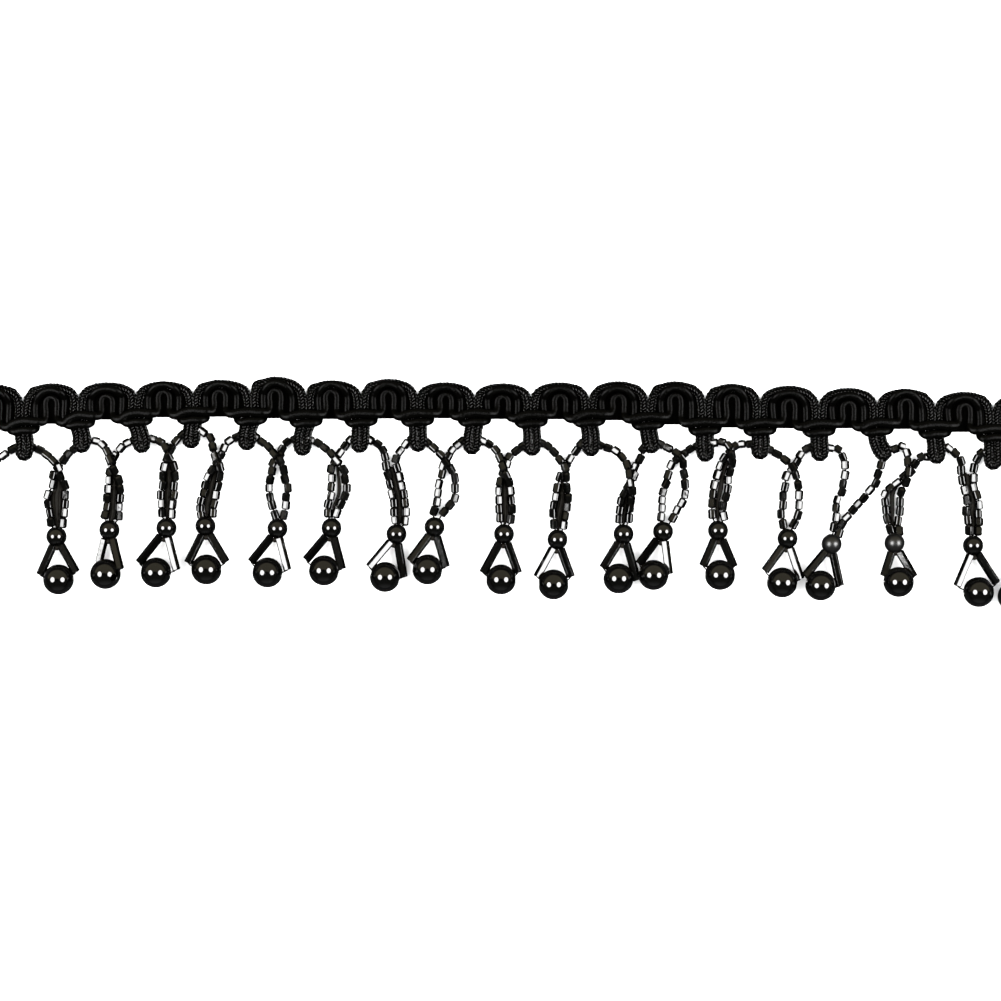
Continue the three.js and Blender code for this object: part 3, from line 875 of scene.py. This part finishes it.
@dataclass(frozen=True)
class BraidedCord:
    """The plaited outer cord: scallops, double legs in the valleys and the hanging loops.

    Attributes:
        lay: The table's place in the frame.
        finish: Material of the yarn.
        inside: Material of the core.
        width: Width of the braid.
        height: Height of the braid.
        low: Level of the braid on the table.
        neck: Level of its legs where a hanging loop begins.
        high: Level of a hanging loop's turn.
        foot: Table steps down from a notch to the feet of the arches.
        crown: Table steps down from a crown to the middle of the braid.
        dip: Table steps down from a band to where the legs stand straight below the notch.
        drop: Table steps down from a band to where they hang in the loop's own way.
        leg: Table steps from a notch to the middle of a leg.
        turn: Table steps of radius of a loop's turn.
        plait: Length of one chevron.
        float_size: Half the length, width and height of one float of the plait.
        spread: How far the floats lie out to the side and up, as shares of the width and height.
        core: Width and height of the core, as shares of the braid's.
        slant: Degrees that a float leans from the cord's course.
        swing: Degrees by which that is uneven.
        column: Degrees round the cord from its top to an outer column of floats.
        fuzz: Distance by which the floats stand out unevenly.
        seed: Seed of what is uneven.
    """

    lay: Lay
    finish: Material
    inside: Material
    width: float = 0.00202
    height: float = 0.0011
    low: float = 0.00055
    neck: float = 0.0012
    high: float = 0.00195
    foot: float = 3.6
    crown: float = 4.8
    dip: float = 15.0
    drop: float = 24.0
    leg: float = 4.55
    turn: float = 4.3
    plait: float = 0.00064
    float_size: tuple[float, float, float] = (0.00047, 0.00019, 0.00021)
    spread: tuple[float, float] = (0.40, 0.36)
    core: tuple[float, float] = (0.92, 0.56)
    slant: float = 45.0
    swing: float = 9.0
    column: float = 62.0
    fuzz: float = 0.00003
    seed: int = 5

    def loop(self, valley: Valley) -> list[Ring]:
        """Lays the two legs and the turn of a hanging loop.

        Args:
            valley: The valley that it hangs from.

        Returns:
            The rings from the left leg round to the right one.
        """
        neck = Vector((valley.neck, valley.band + self.drop))
        tip = Vector((valley.tip_x, valley.tip_y))
        down = (tip - neck).normalized()
        across = Vector((down.y, -down.x))
        middle = tip - down * 2 * self.turn
        turned = []
        for degrees in range(180, 361, 30):
            angle = math.radians(degrees)
            spot = middle + across * self.turn * math.cos(angle) - down * self.turn * math.sin(angle)
            turned.append(Ring(spot.x, spot.y, self.high))
        dip = valley.band + self.dip
        return [
            Ring(valley.x - self.leg, dip, self.low),
            Ring(neck.x - self.leg, neck.y, self.neck),
            *turned,
            Ring(neck.x + self.leg, neck.y, self.neck),
            Ring(valley.x + self.leg, dip, self.low),
        ]

    def course(self) -> np.ndarray:
        """Lays the whole cord.

        Returns:
            Places along it, half a chevron apart.
        """
        rings: list[Ring] = []
        for scallop, before, after in bays():
            right = (after.x - self.leg, after.notch + self.foot)
            left = (before.x + self.leg, before.notch + self.foot) if before else None
            rings += arch(left, (scallop.x, scallop.crown + self.crown), right, lambda _: self.low)
            rings += self.loop(after)
        last = VALLEYS[-1]
        rings.append(Ring(last.x + self.leg, last.notch + self.foot, self.low))
        spots = [self.lay.at((r.x, r.y), r.level) for r in rings]
        return smooth_course(spots, self.plait / 2)

    def yarns(self, course: np.ndarray) -> list[Matrix]:
        """Places the floats of the plait, which lean in and out by turns and make chevrons.

        Args:
            course: Places along the cord, half a chevron apart.

        Returns:
            The transform of each float.
        """
        ways, across, upwards = level_axes(course)
        columns = [(-self.column, 1, 0), (0, -1, 1), (self.column, 1, 0)]
        size = Matrix.Diagonal((*self.float_size, 1.0))
        aside, above = self.spread[0] * self.width, self.spread[1] * self.height
        rng = random.Random(self.seed)
        places = []
        for turn, lean, start in columns:
            angle = math.radians(turn)
            for i in range(start, len(course), 2):
                out = across[i] * math.sin(angle) + upwards[i] * math.cos(angle)
                side = np.cross(out, ways[i])
                spot = (course[i] + across[i] * (aside * math.sin(angle))
                        + upwards[i] * (above * math.cos(angle)))
                slant = math.radians(self.slant * lean + rng.gauss(0, self.swing))
                along = ways[i] * math.cos(slant) + side * math.sin(slant)
                turned = Matrix((along, np.cross(out, along), out)).transposed().to_4x4()
                spot += out * rng.gauss(0, self.fuzz)
                places.append(Matrix.Translation(spot) @ turned @ size)
        return places

    def build(self) -> None:
        """Makes the core of the cord and the plait over it."""
        course = self.course()
        core = rolled_tube("braid_core", course, sides=10, wide=self.core[0] * self.width,
                           high=self.core[1] * self.height)
        float_shape = bmesh.new()
        bmesh.ops.create_uvsphere(float_shape, u_segments=6, v_segments=5, radius=1.0,
                                  matrix=Matrix.Rotation(math.pi / 2, 4, "Y"))
        plait = stamped("braid_plait", float_shape, self.yarns(course), True)
        finished_piece(core, self.inside)
        finished_piece(plait, self.finish, ["loop_cord"])


class Path(Enum):
    """Which of the two satin cords is laid."""

    OUTER = "outer_satin"
    INNER = "inner_satin"


@dataclass(frozen=True)
class SatinCord:
    """A satin-wrapped cord, looped through the scallops and across the hanging loops.

    Attributes:
        lay: The table's place in the frame.
        finish: Material of the wrap.
        path: Which cord it is.
        width: Width of the cord.
        height: Height of the cord.
        band_width: Width where it is pressed flat over a loop.
        band_height: Height where it is pressed flat.
        outer_low: Level of the outer cord's feet.
        inner_low: Level of the inner cord's arches.
        top: Level of both where they cross a hanging loop.
        left_foot: Table steps from a notch to the outer cord's foot at the left of an arch.
        right_foot: Table steps from a notch to its foot at the right of an arch.
        foot: Table steps down from a notch to its feet.
        outer_leg: Table steps from a loop to where the outer cord's crossing begins.
        inner_leg: Table steps from a scallop's middle to the inner cord's leg.
        half_band: Table steps of half the inner cord's width over a loop.
        square: Power of the cord's section.
        band_square: Power of the section where it is pressed flat.
        spacing: Distance between two rings of the cord.
    """

    lay: Lay
    finish: Material
    path: Path
    width: float = 0.00138
    height: float = 0.0012
    band_width: float = 0.00186
    band_height: float = 0.0011
    outer_low: float = 0.0006
    inner_low: float = 0.00078
    top: float = 0.00195
    left_foot: float = 12.9
    right_foot: float = 14.1
    foot: float = 5.0
    outer_leg: float = 13.5
    inner_leg: float = 5.6
    half_band: float = 4.6
    square: float = 2.3
    band_square: float = 2.0
    spacing: float = 0.00028

    def outer(self) -> list[Ring]:
        """Lays the outer cord: over the braid at each crown, under the inner one at each loop.

        Returns:
            Its rings.
        """
        rings: list[Ring] = []
        for scallop, before, after in bays():
            left = (before.x + self.left_foot, before.notch + self.foot) if before else None
            right = (after.x - self.right_foot, after.notch + self.foot)
            rings += arch(left, (scallop.x, scallop.crown + scallop.satin), right,
                          lambda turn: mixed(self.outer_low, self.top, 0.3 + turn / 60))
            # Side, steps inwards from the leg on that side, steps below the band, share of the climb
            crossing = [(-1, 0, 10.5, 0), (-1, 0.8, 12.8, 0.5), (-1, 4.2, 14.7, 0.95),
                        (-1, self.outer_leg, 13.5, 1), (1, 4.6, 13.4, 0.95),
                        (1, 0.8, 12, 0.5), (1, 0, 10, 0)]
            rings += [Ring(after.x + side * (self.outer_leg - inwards), after.band + down,
                           mixed(self.outer_low, self.top, climb), 0.45 * climb)
                      for side, inwards, down, climb in crossing]
        return rings

    def inner(self) -> list[Ring]:
        """Lays the inner cord: a narrow arch in each scallop, a wide flat band at each loop.

        Returns:
            Its rings.
        """
        rings: list[Ring] = []
        for n, (scallop, before, after) in enumerate(bays()):
            following = SCALLOPS[n + 1].x if n + 1 < len(SCALLOPS) else 2 * after.x - scallop.x
            crown = scallop.crown + scallop.satin + ARCH_GAP
            right = (scallop.x + self.inner_leg, crown + self.inner_leg)
            left = (scallop.x - self.inner_leg, crown + self.inner_leg) if before else None
            rings += arch(left, (scallop.x, crown), right, lambda _: self.inner_low)
            anchors = {-1: scallop.x + self.inner_leg, 0: after.x, 1: following - self.inner_leg}
            sag = after.bulge - self.half_band - after.band
            # Anchor, steps inwards from it, steps below the band, share of the climb
            crossing = [(-1, 0, sag - 7.5, 0), (-1, 0.5, sag - 3.4, 0.35), (-1, 3.2, sag - 0.6, 0.8),
                        (-1, 7.5, sag - 0.1, 1), (-1, 13, mixed(4.4, sag, 0.45), 1),
                        (0, 0, 4.2, 1), (1, 8, 4.9, 1), (1, 2.0, 4.2, 0.65), (1, 0, 0.2, 0.25)]
            rings += [Ring(anchors[side] - side * inwards, after.band + down,
                           mixed(self.inner_low, self.top, climb), climb)
                      for side, inwards, down, climb in crossing]
        return rings

    def build(self) -> None:
        """Makes the cord."""
        rings = self.outer() if self.path is Path.OUTER else self.inner()
        spots = [self.lay.at((r.x, r.y), r.level) for r in rings]
        course = smooth_course(spots, self.spacing)
        ends = np.array([tuple(s) for s in spots])
        reach = np.concatenate([[0], np.cumsum(np.linalg.norm(np.diff(ends, axis=0), axis=1))])
        flat = np.interp(np.linspace(0, reach[-1], len(course)), reach, [r.flat for r in rings])
        wide = self.width + (self.band_width - self.width) * flat
        high = self.height + (self.band_height - self.height) * flat
        square = self.square + (self.band_square - self.square) * flat
        tube = rolled_tube(f"{self.path.value}_cord", course, sides=18, wide=wide, high=high,
                           square=square)
        finished_piece(tube, self.finish, [self.path.value])


@dataclass(frozen=True)
class ShadeBacking:
    """Painted shade and backing: a thin dark sheet behind each scallop, which blackens the gaps
    between the three cords where the table would show, and which stands for the backing that they are
    stitched to.

    Attributes:
        lay: The table's place in the frame.
        finish: Material of the sheet.
        wide: Table steps of half the width of the sheet behind a scallop.
        top: Table steps from a crown to its upper edge.
        foot: Table steps from the two bands beside it to its lower edge.
        thick: Half its thickness.
        square: Power of its outline.
    """

    lay: Lay
    finish: Material
    wide: float = 24.5
    top: float = 2.5
    foot: float = 9.8
    thick: float = 0.0003
    square: float = 5.0

    def build(self) -> None:
        """Makes the dark sheet of painted shade behind all the scallops."""
        bm = bmesh.new()
        for scallop, before, after in bays():
            bands = ((before or after).band + after.band) / 2
            top, foot = scallop.crown + self.top, bands + self.foot
            middle = self.lay.at((scallop.x, (top + foot) / 2), self.thick)
            size = Vector((STEP * self.wide, STEP * (foot - top) / 2))
            pad = bmesh.ops.create_uvsphere(bm, u_segments=40, v_segments=12, radius=1.0)
            for vert in pad["verts"]:
                flat = vert.co.xy
                if flat.length > 1e-6:
                    turn = flat.normalized()
                    flat = flat / (abs(turn.x) ** self.square
                                   + abs(turn.y) ** self.square) ** (1 / self.square)
                if before is None:
                    flat.x = max(0.0, flat.x)
                vert.co = middle + Vector((*(flat * size), vert.co.z * self.thick))
        finished_piece(smooth_mesh("shade_backing_sheet", bm), self.finish)


@dataclass(frozen=True)
class SeedStrands:
    """The running string of cut seed beads, with two strands for each drop.

    Attributes:
        lay: The table's place in the frame.
        glass: Material of the beads.
        yarn: Material of the thread.
        bead: Shape of a bead.
        thread: Thickness of the thread.
        rest: Level of a bead that lies on the table.
        stretch: Least and greatest length of a bead, as a share of its shape's.
        girth: Least and greatest thickness of a bead, as a share of its shape's.
        roll: How far the upper side of a bead leans to the left or right at most, in radians.
        tip: Share of that lean by which a bead that lies across the view is tipped.
        uneven: How far beads are uneven in their way to the side and up, in radians.
        seed: Seed of what is uneven.
        root: Table steps up from a loop's tip to the thread behind it.
        root_level: Level of the thread there.
        least_width: Width of an end of loose yarn where the two strands meet.
        knot: Radius of the knot at a cut end.
        knot_drop: How far the knot lies below a bead's level.
        spacing: Distance between two rings of a run of thread.
    """

    lay: Lay
    glass: Material
    yarn: Material
    bead: CutTube = CutTube(radius=0.00087, length=0.0017, hole=0.0003, lip=0.00026, edge=0.00012)
    thread: float = 0.00034
    rest: float = 0.00088
    stretch: tuple[float, float] = (0.85, 1.15)
    girth: tuple[float, float] = (0.94, 1.04)
    roll: float = 0.33
    tip: float = 0.85
    uneven: tuple[float, float] = (0.05, 0.09)
    seed: int = 11
    root: float = 11.0
    root_level: float = 0.0004
    least_width: float = 0.0002
    knot: float = 0.00055
    knot_drop: float = 0.00025
    spacing: float = 0.0006

    def flat_strand(self, places: Sequence[Place]) -> np.ndarray:
        """Lays a strand on the table."""
        return np.array([tuple(self.lay.at(p, self.rest)) for p in places])

    def lifted(self, upper: np.ndarray, lower: np.ndarray) -> np.ndarray:
        """Lifts a strand over another where they cross, and its beads beside those a little.

        Args:
            upper: Beads of the strand on top.
            lower: Beads of the strand below.

        Returns:
            The beads of the upper strand, with their new levels.
        """
        depth = 2 * self.bead.radius
        apart = np.linalg.norm(upper[:, None, :2] - lower[None, :, :2], axis=2).min(axis=1)
        rise = np.sqrt(np.clip(depth**2 - apart**2, 0, None))
        eased = np.convolve(np.pad(rise, 1, mode="edge"), [0.3, 0.4, 0.3], mode="valid")
        lift = np.maximum(rise, eased)
        lift[-1] = 0.0
        return upper + np.stack([0 * lift, 0 * lift, lift], axis=1)

    def threaded(self, beads: np.ndarray, rng: random.Random) -> list[Matrix]:
        """Turns each bead along its strand.

        Args:
            beads: Middles of the beads, in order.
            rng: Source of the small unevenness.

        Returns:
            The transform of each bead.
        """
        ways = np.gradient(beads, axis=0)
        steps = np.linalg.norm(ways, axis=1)
        places = []
        for spot, way, step in zip(beads, ways, steps):
            size = min(self.stretch[1], max(self.stretch[0], step / self.bead.length))
            thick = rng.uniform(*self.girth)
            turn = level_turn(Vector(way))
            along, across = turn[0][:2]
            # Half the angle at which the camera sees it, as its upper side is a mirror
            seen = 0.5 * math.atan2(spot[0] - self.lay.shift.x, VIEW_HEIGHT)
            lean = rng.uniform(-self.roll, self.roll) - seen
            roll = Matrix.Rotation(-lean * across, 4, "X")
            nod = (Matrix.Rotation(rng.gauss(0, self.uneven[0]), 4, "Z")
                   @ Matrix.Rotation(self.tip * lean * along + rng.gauss(0, self.uneven[1]), 4, "Y"))
            turned = turn @ nod @ roll @ Matrix.Diagonal((size, thick, thick, 1.0))
            upwards = turned[2]
            half = self.bead.length / 2 - self.bead.slope * self.bead.lip
            reach = abs(upwards[0]) * half + self.bead.radius * math.hypot(*upwards[1:3])
            places.append(Matrix.Translation((*spot[:2], max(spot[2], reach))) @ turned)
        return places

    def build(self) -> None:
        """Strings the beads on their thread."""
        rng = random.Random(self.seed)
        strands: list[np.ndarray] = []
        threads: list[list[Vector]] = []
        for n, (left, right) in enumerate(zip(LEFT_STRANDS, RIGHT_STRANDS)):
            lower = self.flat_strand(right)
            upper = self.lifted(self.flat_strand(left), lower)
            strands += [upper, lower]
            small = self.lay.at(DROPS[n].small, SMALL_RADIUS)
            for beads, valley in ((upper, VALLEYS[n]), (lower, VALLEYS[n + 1])):
                threads.append([self.rooted(valley), *map(Vector, beads), small])
        for places, valley in zip(CUT_ENDS, (VALLEYS[0], VALLEYS[-1])):
            beads = self.flat_strand(places)
            strands.append(beads[:-1])
            threads.append([self.rooted(valley), *map(Vector, beads)])
        places = [place for strand in strands for place in self.threaded(strand, rng)]
        glass = stamped("seed_beads", self.bead.shape(), places, False)
        finished_piece(glass, self.glass, ["bead_string"])
        finished_piece(self.thread_mesh(threads), self.yarn)

    def rooted(self, valley: Valley) -> Vector:
        """Finds the place behind a hanging loop that the thread runs through."""
        return self.lay.at((valley.tip_x, valley.tip_y - self.root), self.root_level)

    def thread_mesh(self, runs: Sequence[Sequence[Vector]]) -> Mesh:
        """Joins the runs of thread and the loose yarn that paints the shade between the strands, with
        a knot at each cut end.

        Args:
            runs: Places along each run.

        Returns:
            The mesh.
        """
        bm = bmesh.new()
        for run in runs:
            add_tube(bm, smooth_course(run, self.spacing), sides=5, wide=self.thread, high=self.thread)
        # Loose yarn sized to the gap between the strands, which is also painted shade there.
        for n, share in enumerate(YARN_AND_SHADE_FILL):
            if share:
                self.add_yarn_and_shade_fill(bm, n, share)
        for run in runs[-2:]:
            place = Matrix.Translation(run[-1] - UP * self.knot_drop)
            bmesh.ops.create_icosphere(bm, subdivisions=2, radius=self.knot, matrix=place)
        return smooth_mesh("bead_thread", bm)

    def add_yarn_and_shade_fill(self, bm: BMesh, drop: int, share: float) -> None:
        """Adds the three flat ends of yarn between the strands of a drop, which fill a share of the
        gap and so also paint the shade there.

        Args:
            bm: The mesh of the thread.
            drop: Number of the drop, from 0.
            share: Share of the gap between the strands that the yarn fills.
        """
        beads, above = 7, 7.0
        x, y = DROPS[drop].small
        left, right = (self.flat_strand([*side[drop][-beads:], (x, y - above)])
                       for side in (LEFT_STRANDS, RIGHT_STRANDS))
        apart = np.linalg.norm(right - left, axis=1)[:, None].clip(1e-5)
        free = (1 - 1.4 * self.bead.radius / apart).clip(0.15)
        gap = (right - left) * (share * free)
        widths = 0.45 * np.linalg.norm(gap, axis=1) + self.least_width
        # How far each end lies to the side, as a share of the gap, and its level, as one of a bead's
        for aside, level in ((-0.3, 0.42), (0.3, 0.4), (0, 0.55)):
            middle = (left + right) / 2 + gap * aside
            middle[:, 2] = level * self.rest
            course = smooth_course([Vector(p) for p in middle], self.spacing)
            wide = np.interp(np.linspace(0, beads, len(course)), range(beads + 1), widths)
            add_tube(bm, course, sides=6, wide=wide, high=0.7 * self.rest)


@dataclass(frozen=True)
class RoundBeads:
    """The smooth drilled beads of one size.

    Attributes:
        finish: Material of the glass.
        node: Name of the solids that they stand for, without the number.
        radius: Radius of a bead.
        hole: Radius of its hole.
        frosted: Which of them have lost their polish, counted from 0.
        steps: Steps of the spin.
        arcs: Steps from one mouth of the hole to the other.
        bore: Radius of the hole inside the bead, as a share of its mouth's.
        bore_length: Length of the hole at that radius, as a share of its whole length.
    """

    finish: Material
    node: str
    radius: float
    hole: float
    frosted: Sequence[int] = ()
    steps: int = 56
    arcs: int = 26
    bore: float = 0.9
    bore_length: float = 0.96

    def shape(self) -> BMesh:
        """Spins the drilled bead about X.

        Returns:
            The bead, about the origin.
        """
        mouth = math.asin(self.hole / self.radius)
        angles = np.linspace(mouth, math.pi - mouth, self.arcs)
        outline = [(self.radius * math.cos(a), self.radius * math.sin(a)) for a in angles]
        depth = self.radius * math.cos(mouth)
        inner = [(end * depth, self.bore * self.hole) for end in (-self.bore_length, self.bore_length)]
        return spun([*outline, *inner], self.steps)

    def build(self, hole_ways: Sequence[Vector]) -> None:
        """Makes the beads of this size.

        Args:
            hole_ways: Direction of each bead's hole.
        """
        nodes = [f"{self.node}_{n + 1:02d}" for n in range(len(DROPS))]
        places = []
        for node, way in zip(nodes, hole_ways):
            low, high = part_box(node)
            spot = (low + high) / 2
            spot.z = self.radius
            places.append(Matrix.Translation(spot) @ level_turn(way))
        mesh = stamped(f"{self.node}s", self.shape(), places, True, self.frosted)
        mesh.set_sharp_from_angle(angle=math.radians(50))
        finished_piece(mesh, self.finish, nodes)


@dataclass(frozen=True)
class BugleBeads:
    """The pairs of cut bugle beads, with the thread that runs through the large beads.

    Attributes:
        lay: The table's place in the frame.
        glass: Material of the glass.
        yarn: Material of the thread.
        bead: Shape of a bugle, before it is fitted in.
        thread: Thickness of the thread.
        below: Distance from the middle of the small bead down to the tops of the bugles.
        beside: Distance of a top from the line between the two round beads.
        knot: Radius of the knot below the small bead.
        knot_share: Where it lies on the way from the small bead to the large one.
        spacing: Distance between two rings of the thread.
    """

    lay: Lay
    glass: Material
    yarn: Material
    bead: CutTube = CutTube(radius=0.00087, length=0.007, hole=0.00042, lip=0.0001, edge=0.00002)
    thread: float = 0.0003
    below: float = 0.0018
    beside: float = 0.0008
    knot: float = 0.00062
    knot_share: float = 0.26
    spacing: float = 0.0008

    def build(self) -> None:
        """Strings the bugles of each drop between its round beads."""
        places = []
        bm = bmesh.new()
        for drop in DROPS:
            small = self.lay.at(drop.small, SMALL_RADIUS)
            large = self.lay.at(drop.large, LARGE_RADIUS)
            down = (large - small).normalized()
            across = Vector((-down.y, down.x, 0.0)) * self.beside
            head = small + down * self.below
            tops = [head - across, head + across]
            feet = [self.lay.at(drop.left, drop.left_level * MILLIMETRE),
                    self.lay.at(drop.right, drop.right_level * MILLIMETRE)]
            for top, foot, tilt in zip(tops, feet, (drop.left_tilt, drop.right_tilt)):
                roll = Matrix.Rotation(math.radians(-tilt), 4, "X")
                size = Matrix.Diagonal(((foot - top).length / self.bead.length, 1.0, 1.0, 1.0))
                turned = level_turn(foot - top) @ roll @ size
                places.append(Matrix.Translation((top + foot) / 2) @ turned)
            run = [small, tops[0], feet[0], large, feet[1], tops[1], small]
            add_tube(bm, smooth_course(run, self.spacing), sides=5, wide=self.thread, high=self.thread)
            knot = Matrix.Translation(small.lerp(large, self.knot_share))
            bmesh.ops.create_icosphere(bm, subdivisions=1, radius=self.knot, matrix=knot)
        glass = stamped("bugle_beads", self.bead.shape(), places, False)
        nodes = [f"bugle_pair_{n + 1:02d}" for n in range(len(DROPS))]
        finished_piece(glass, self.glass, nodes)
        finished_piece(smooth_mesh("bugle_thread", bm), self.yarn)


class Box(NamedTuple):
    """A softbox or a fill panel, which lights either what is glossy or what is matt."""

    name: str
    side: int
    distance: float
    lean: float
    size: tuple[float, float]
    radiance: float
    gloss: bool


BOXES = [
    Box("left_softbox", -1, 3.0, 36.5, (1.72, 1.9), 26.0, True),
    Box("right_softbox", 1, 3.0, 40.5, (1.76, 1.9), 26.0, True),
    Box("left_fill", -1, 1.2, 40, (0.9, 1.1), 12.0, False),
    Box("right_fill", 1, 1.2, 40, (0.9, 1.1), 12.0, False),
]


@dataclass(frozen=True)
class Studio:
    """The table, the softboxes, the room around them and the camera.

    Attributes:
        middle: Place on the table under the camera.
        sensor: Width of the camera's sensor, in millimetres.
        view_width: Width of the table that the camera sees.
        reach: Distance from the middle of the table to its edge.
        pale: Colour of the table.
        dim: Painted shade: colour of the table in what is glossy, so that it looks dark in
            reflections.
    """

    middle: Vector
    sensor: float = 36.0
    view_width: float = 0.2002
    reach: float = 3.0
    pale: Colour = (0.82, 0.82, 0.82, 1.0)
    dim: Colour = (0.02, 0.02, 0.02, 1.0)

    def table(self) -> None:
        """Lays the pale table, with painted shade that makes it look dim in polished glass."""
        bm = bmesh.new()
        bmesh.ops.create_grid(bm, x_segments=1, y_segments=1, size=self.reach)
        top = placed("table", smooth_mesh("table", bm))
        shader = Shader("table_with_painted_gloss_shade")
        # Painted shade: glossy rays see the table in its dim colour instead of its pale one.
        seen = add_node(shader.tree, "ShaderNodeLightPath")["Is Glossy Ray"]
        shade = blend(shader.tree, seen, self.pale, self.dim)
        feed(shader.surface, {"Base Color": shade, "Roughness": 0.9, "Specular IOR Level": 0.0})
        top.data.materials.append(shader.material)

    def hang(self, box: Box) -> None:
        """Hangs a softbox or a panel.

        Args:
            box: The box.
        """
        light = bpy.data.lights.new(box.name, "AREA")
        light.shape = "ELLIPSE"
        light.size, light.size_y = box.size
        light.energy = box.radiance * math.pi * box.size[0] * box.size[1] * math.pi / 4
        hung = placed(box.name, light)
        angle = math.radians(box.lean)
        way = Vector((box.side * math.sin(angle), 0.0, math.cos(angle)))
        hung.location = self.middle + way * box.distance
        hung.rotation_euler = (0.0, box.side * angle, 0.0)
        hung.visible_diffuse = not box.gloss
        hung.visible_glossy = box.gloss

    def room(self) -> None:
        """Paints the room: pale on what is matt, dim and brownish above in what is glossy."""
        world = bpy.data.worlds.new("room")
        world.use_nodes = True
        tree = world.node_tree
        tree.nodes.clear()
        way = add_node(tree, "ShaderNodeTexCoord")["Generated"]
        parts = add_node(tree, "ShaderNodeSeparateXYZ", {"Vector": way})
        tone: object = (0.1, 0.1, 0.09, 1.0)
        # Axis, start and end of each colour's fade along it, the colour beyond
        layers = [
            ("Y", 0.02, 0.22, (0.75, 0.68, 0.5, 1.0)),
            ("Z", 0.28, 0.05, (0.02, 0.02, 0.02, 1.0)),
            ("Y", -0.7, -0.97, (0.3, 0.3, 0.3, 1.0)),
            ("Z", 0.975, 0.996, (0.03, 0.03, 0.03, 1.0)),
        ]
        for axis, start, stop, colour in layers:
            fade = add_node(tree, "ShaderNodeMapRange",
                            {"Value": parts[axis], "From Min": start, "From Max": stop},
                            interpolation_type="SMOOTHSTEP")
            tone = blend(tree, fade["Result"], tone, colour)
        dim = add_node(tree, "ShaderNodeBackground", {"Color": tone})
        pale = add_node(tree, "ShaderNodeBackground", {"Color": (2.0, 2.0, 2.0, 1.0)})
        seen = add_node(tree, "ShaderNodeLightPath")["Is Glossy Ray"]
        both = add_node(tree, "ShaderNodeMixShader",
                        {"Fac": seen, 1: pale["Background"], 2: dim["Background"]})
        add_node(tree, "ShaderNodeOutputWorld", {"Surface": both["Shader"]})
        bpy.context.scene.world = world

    def camera(self) -> None:
        """Hangs the camera straight above the middle of the table."""
        lens = bpy.data.cameras.new("camera")
        lens.sensor_width = self.sensor
        lens.lens = self.sensor * VIEW_HEIGHT / self.view_width
        hung = placed("camera", lens)
        hung.location = self.middle + UP * VIEW_HEIGHT
        bpy.context.scene.camera = hung

    def build(self) -> None:
        """Sets up the studio."""
        self.camera()
        self.table()
        self.room()
        for box in BOXES:
            self.hang(box)
        bpy.context.scene.view_settings.view_transform = "Standard"
        log.info("studio: camera %.0f mm above the table", VIEW_HEIGHT * 1000)


def hole_ways(lay: Lay) -> tuple[list[Vector], list[Vector]]:
    """Works out how the holes of the round beads run.

    Args:
        lay: The table's place in the frame.

    Returns:
        The directions for the small beads and for the large ones.
    """
    small, large = [], []
    for drop in DROPS:
        down = lay.at(drop.large, 0.0) - lay.at(drop.small, 0.0)
        small.append(down)
        along = (lay.at(drop.right, 0.0) - lay.at(drop.left, 0.0)).normalized()
        large.append(along + UP * math.tan(math.radians(drop.hole_rise)))
    return small, large


def main() -> None:
    """Builds the trim and its studio, piece by piece."""
    logging.basicConfig(level=logging.INFO, format="%(name)s %(message)s")
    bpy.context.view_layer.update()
    lay = Lay.from_frame()
    Studio(lay.shift.copy()).build()
    polish = polish_group()
    yarn = yarn_group()
    seed = GlassFinish(Glass.SEED, wear=0.03, frost=0.08, mirror=0.45).material(polish)
    smooth = GlassFinish(Glass.ROUND, gloss=0.03, wear=0.03, frost=0.3, waves=0.00001).material(polish)
    bugle = GlassFinish(Glass.BUGLE, gloss=0.07).material(polish)
    braid = CordFinish("braid_yarn", pitch=0.0004, relief=0.00002, mirror=0.23).material(yarn)
    satin = CordFinish("satin_wrap").material(yarn)
    # Yarn with almost no specular level, for the braid's core and for the sheet of painted shade
    # behind the scallops.
    inside = CordFinish("inner_yarn", mirror=0.004).material(yarn)
    # Colour of the thread, also worn by the loose yarn that paints the shade between the strands.
    waxed = CordFinish("waxed_yarn", dark=(0.0015, 0.0013, 0.0009, 1.0),
                       light=(0.006, 0.0052, 0.0038, 1.0), mirror=0.04, sleek=0.35,
                       dull=0.5).material(yarn)
    BraidedCord(lay, braid, inside).build()
    for path in Path:
        SatinCord(lay, satin, path).build()
    # Painted shade: a dark sheet behind the scallops that blackens the gaps between the cords.
    ShadeBacking(lay, inside).build()
    SeedStrands(lay, seed, waxed).build()
    small_ways, large_ways = hole_ways(lay)
    RoundBeads(smooth, "small_bead", SMALL_RADIUS, 0.0006, (14, 15)).build(small_ways)
    RoundBeads(smooth, "large_bead", LARGE_RADIUS, 0.0008, (17,)).build(large_ways)
    BugleBeads(lay, bugle, waxed).build()


if __name__ == "__main__":
    main()
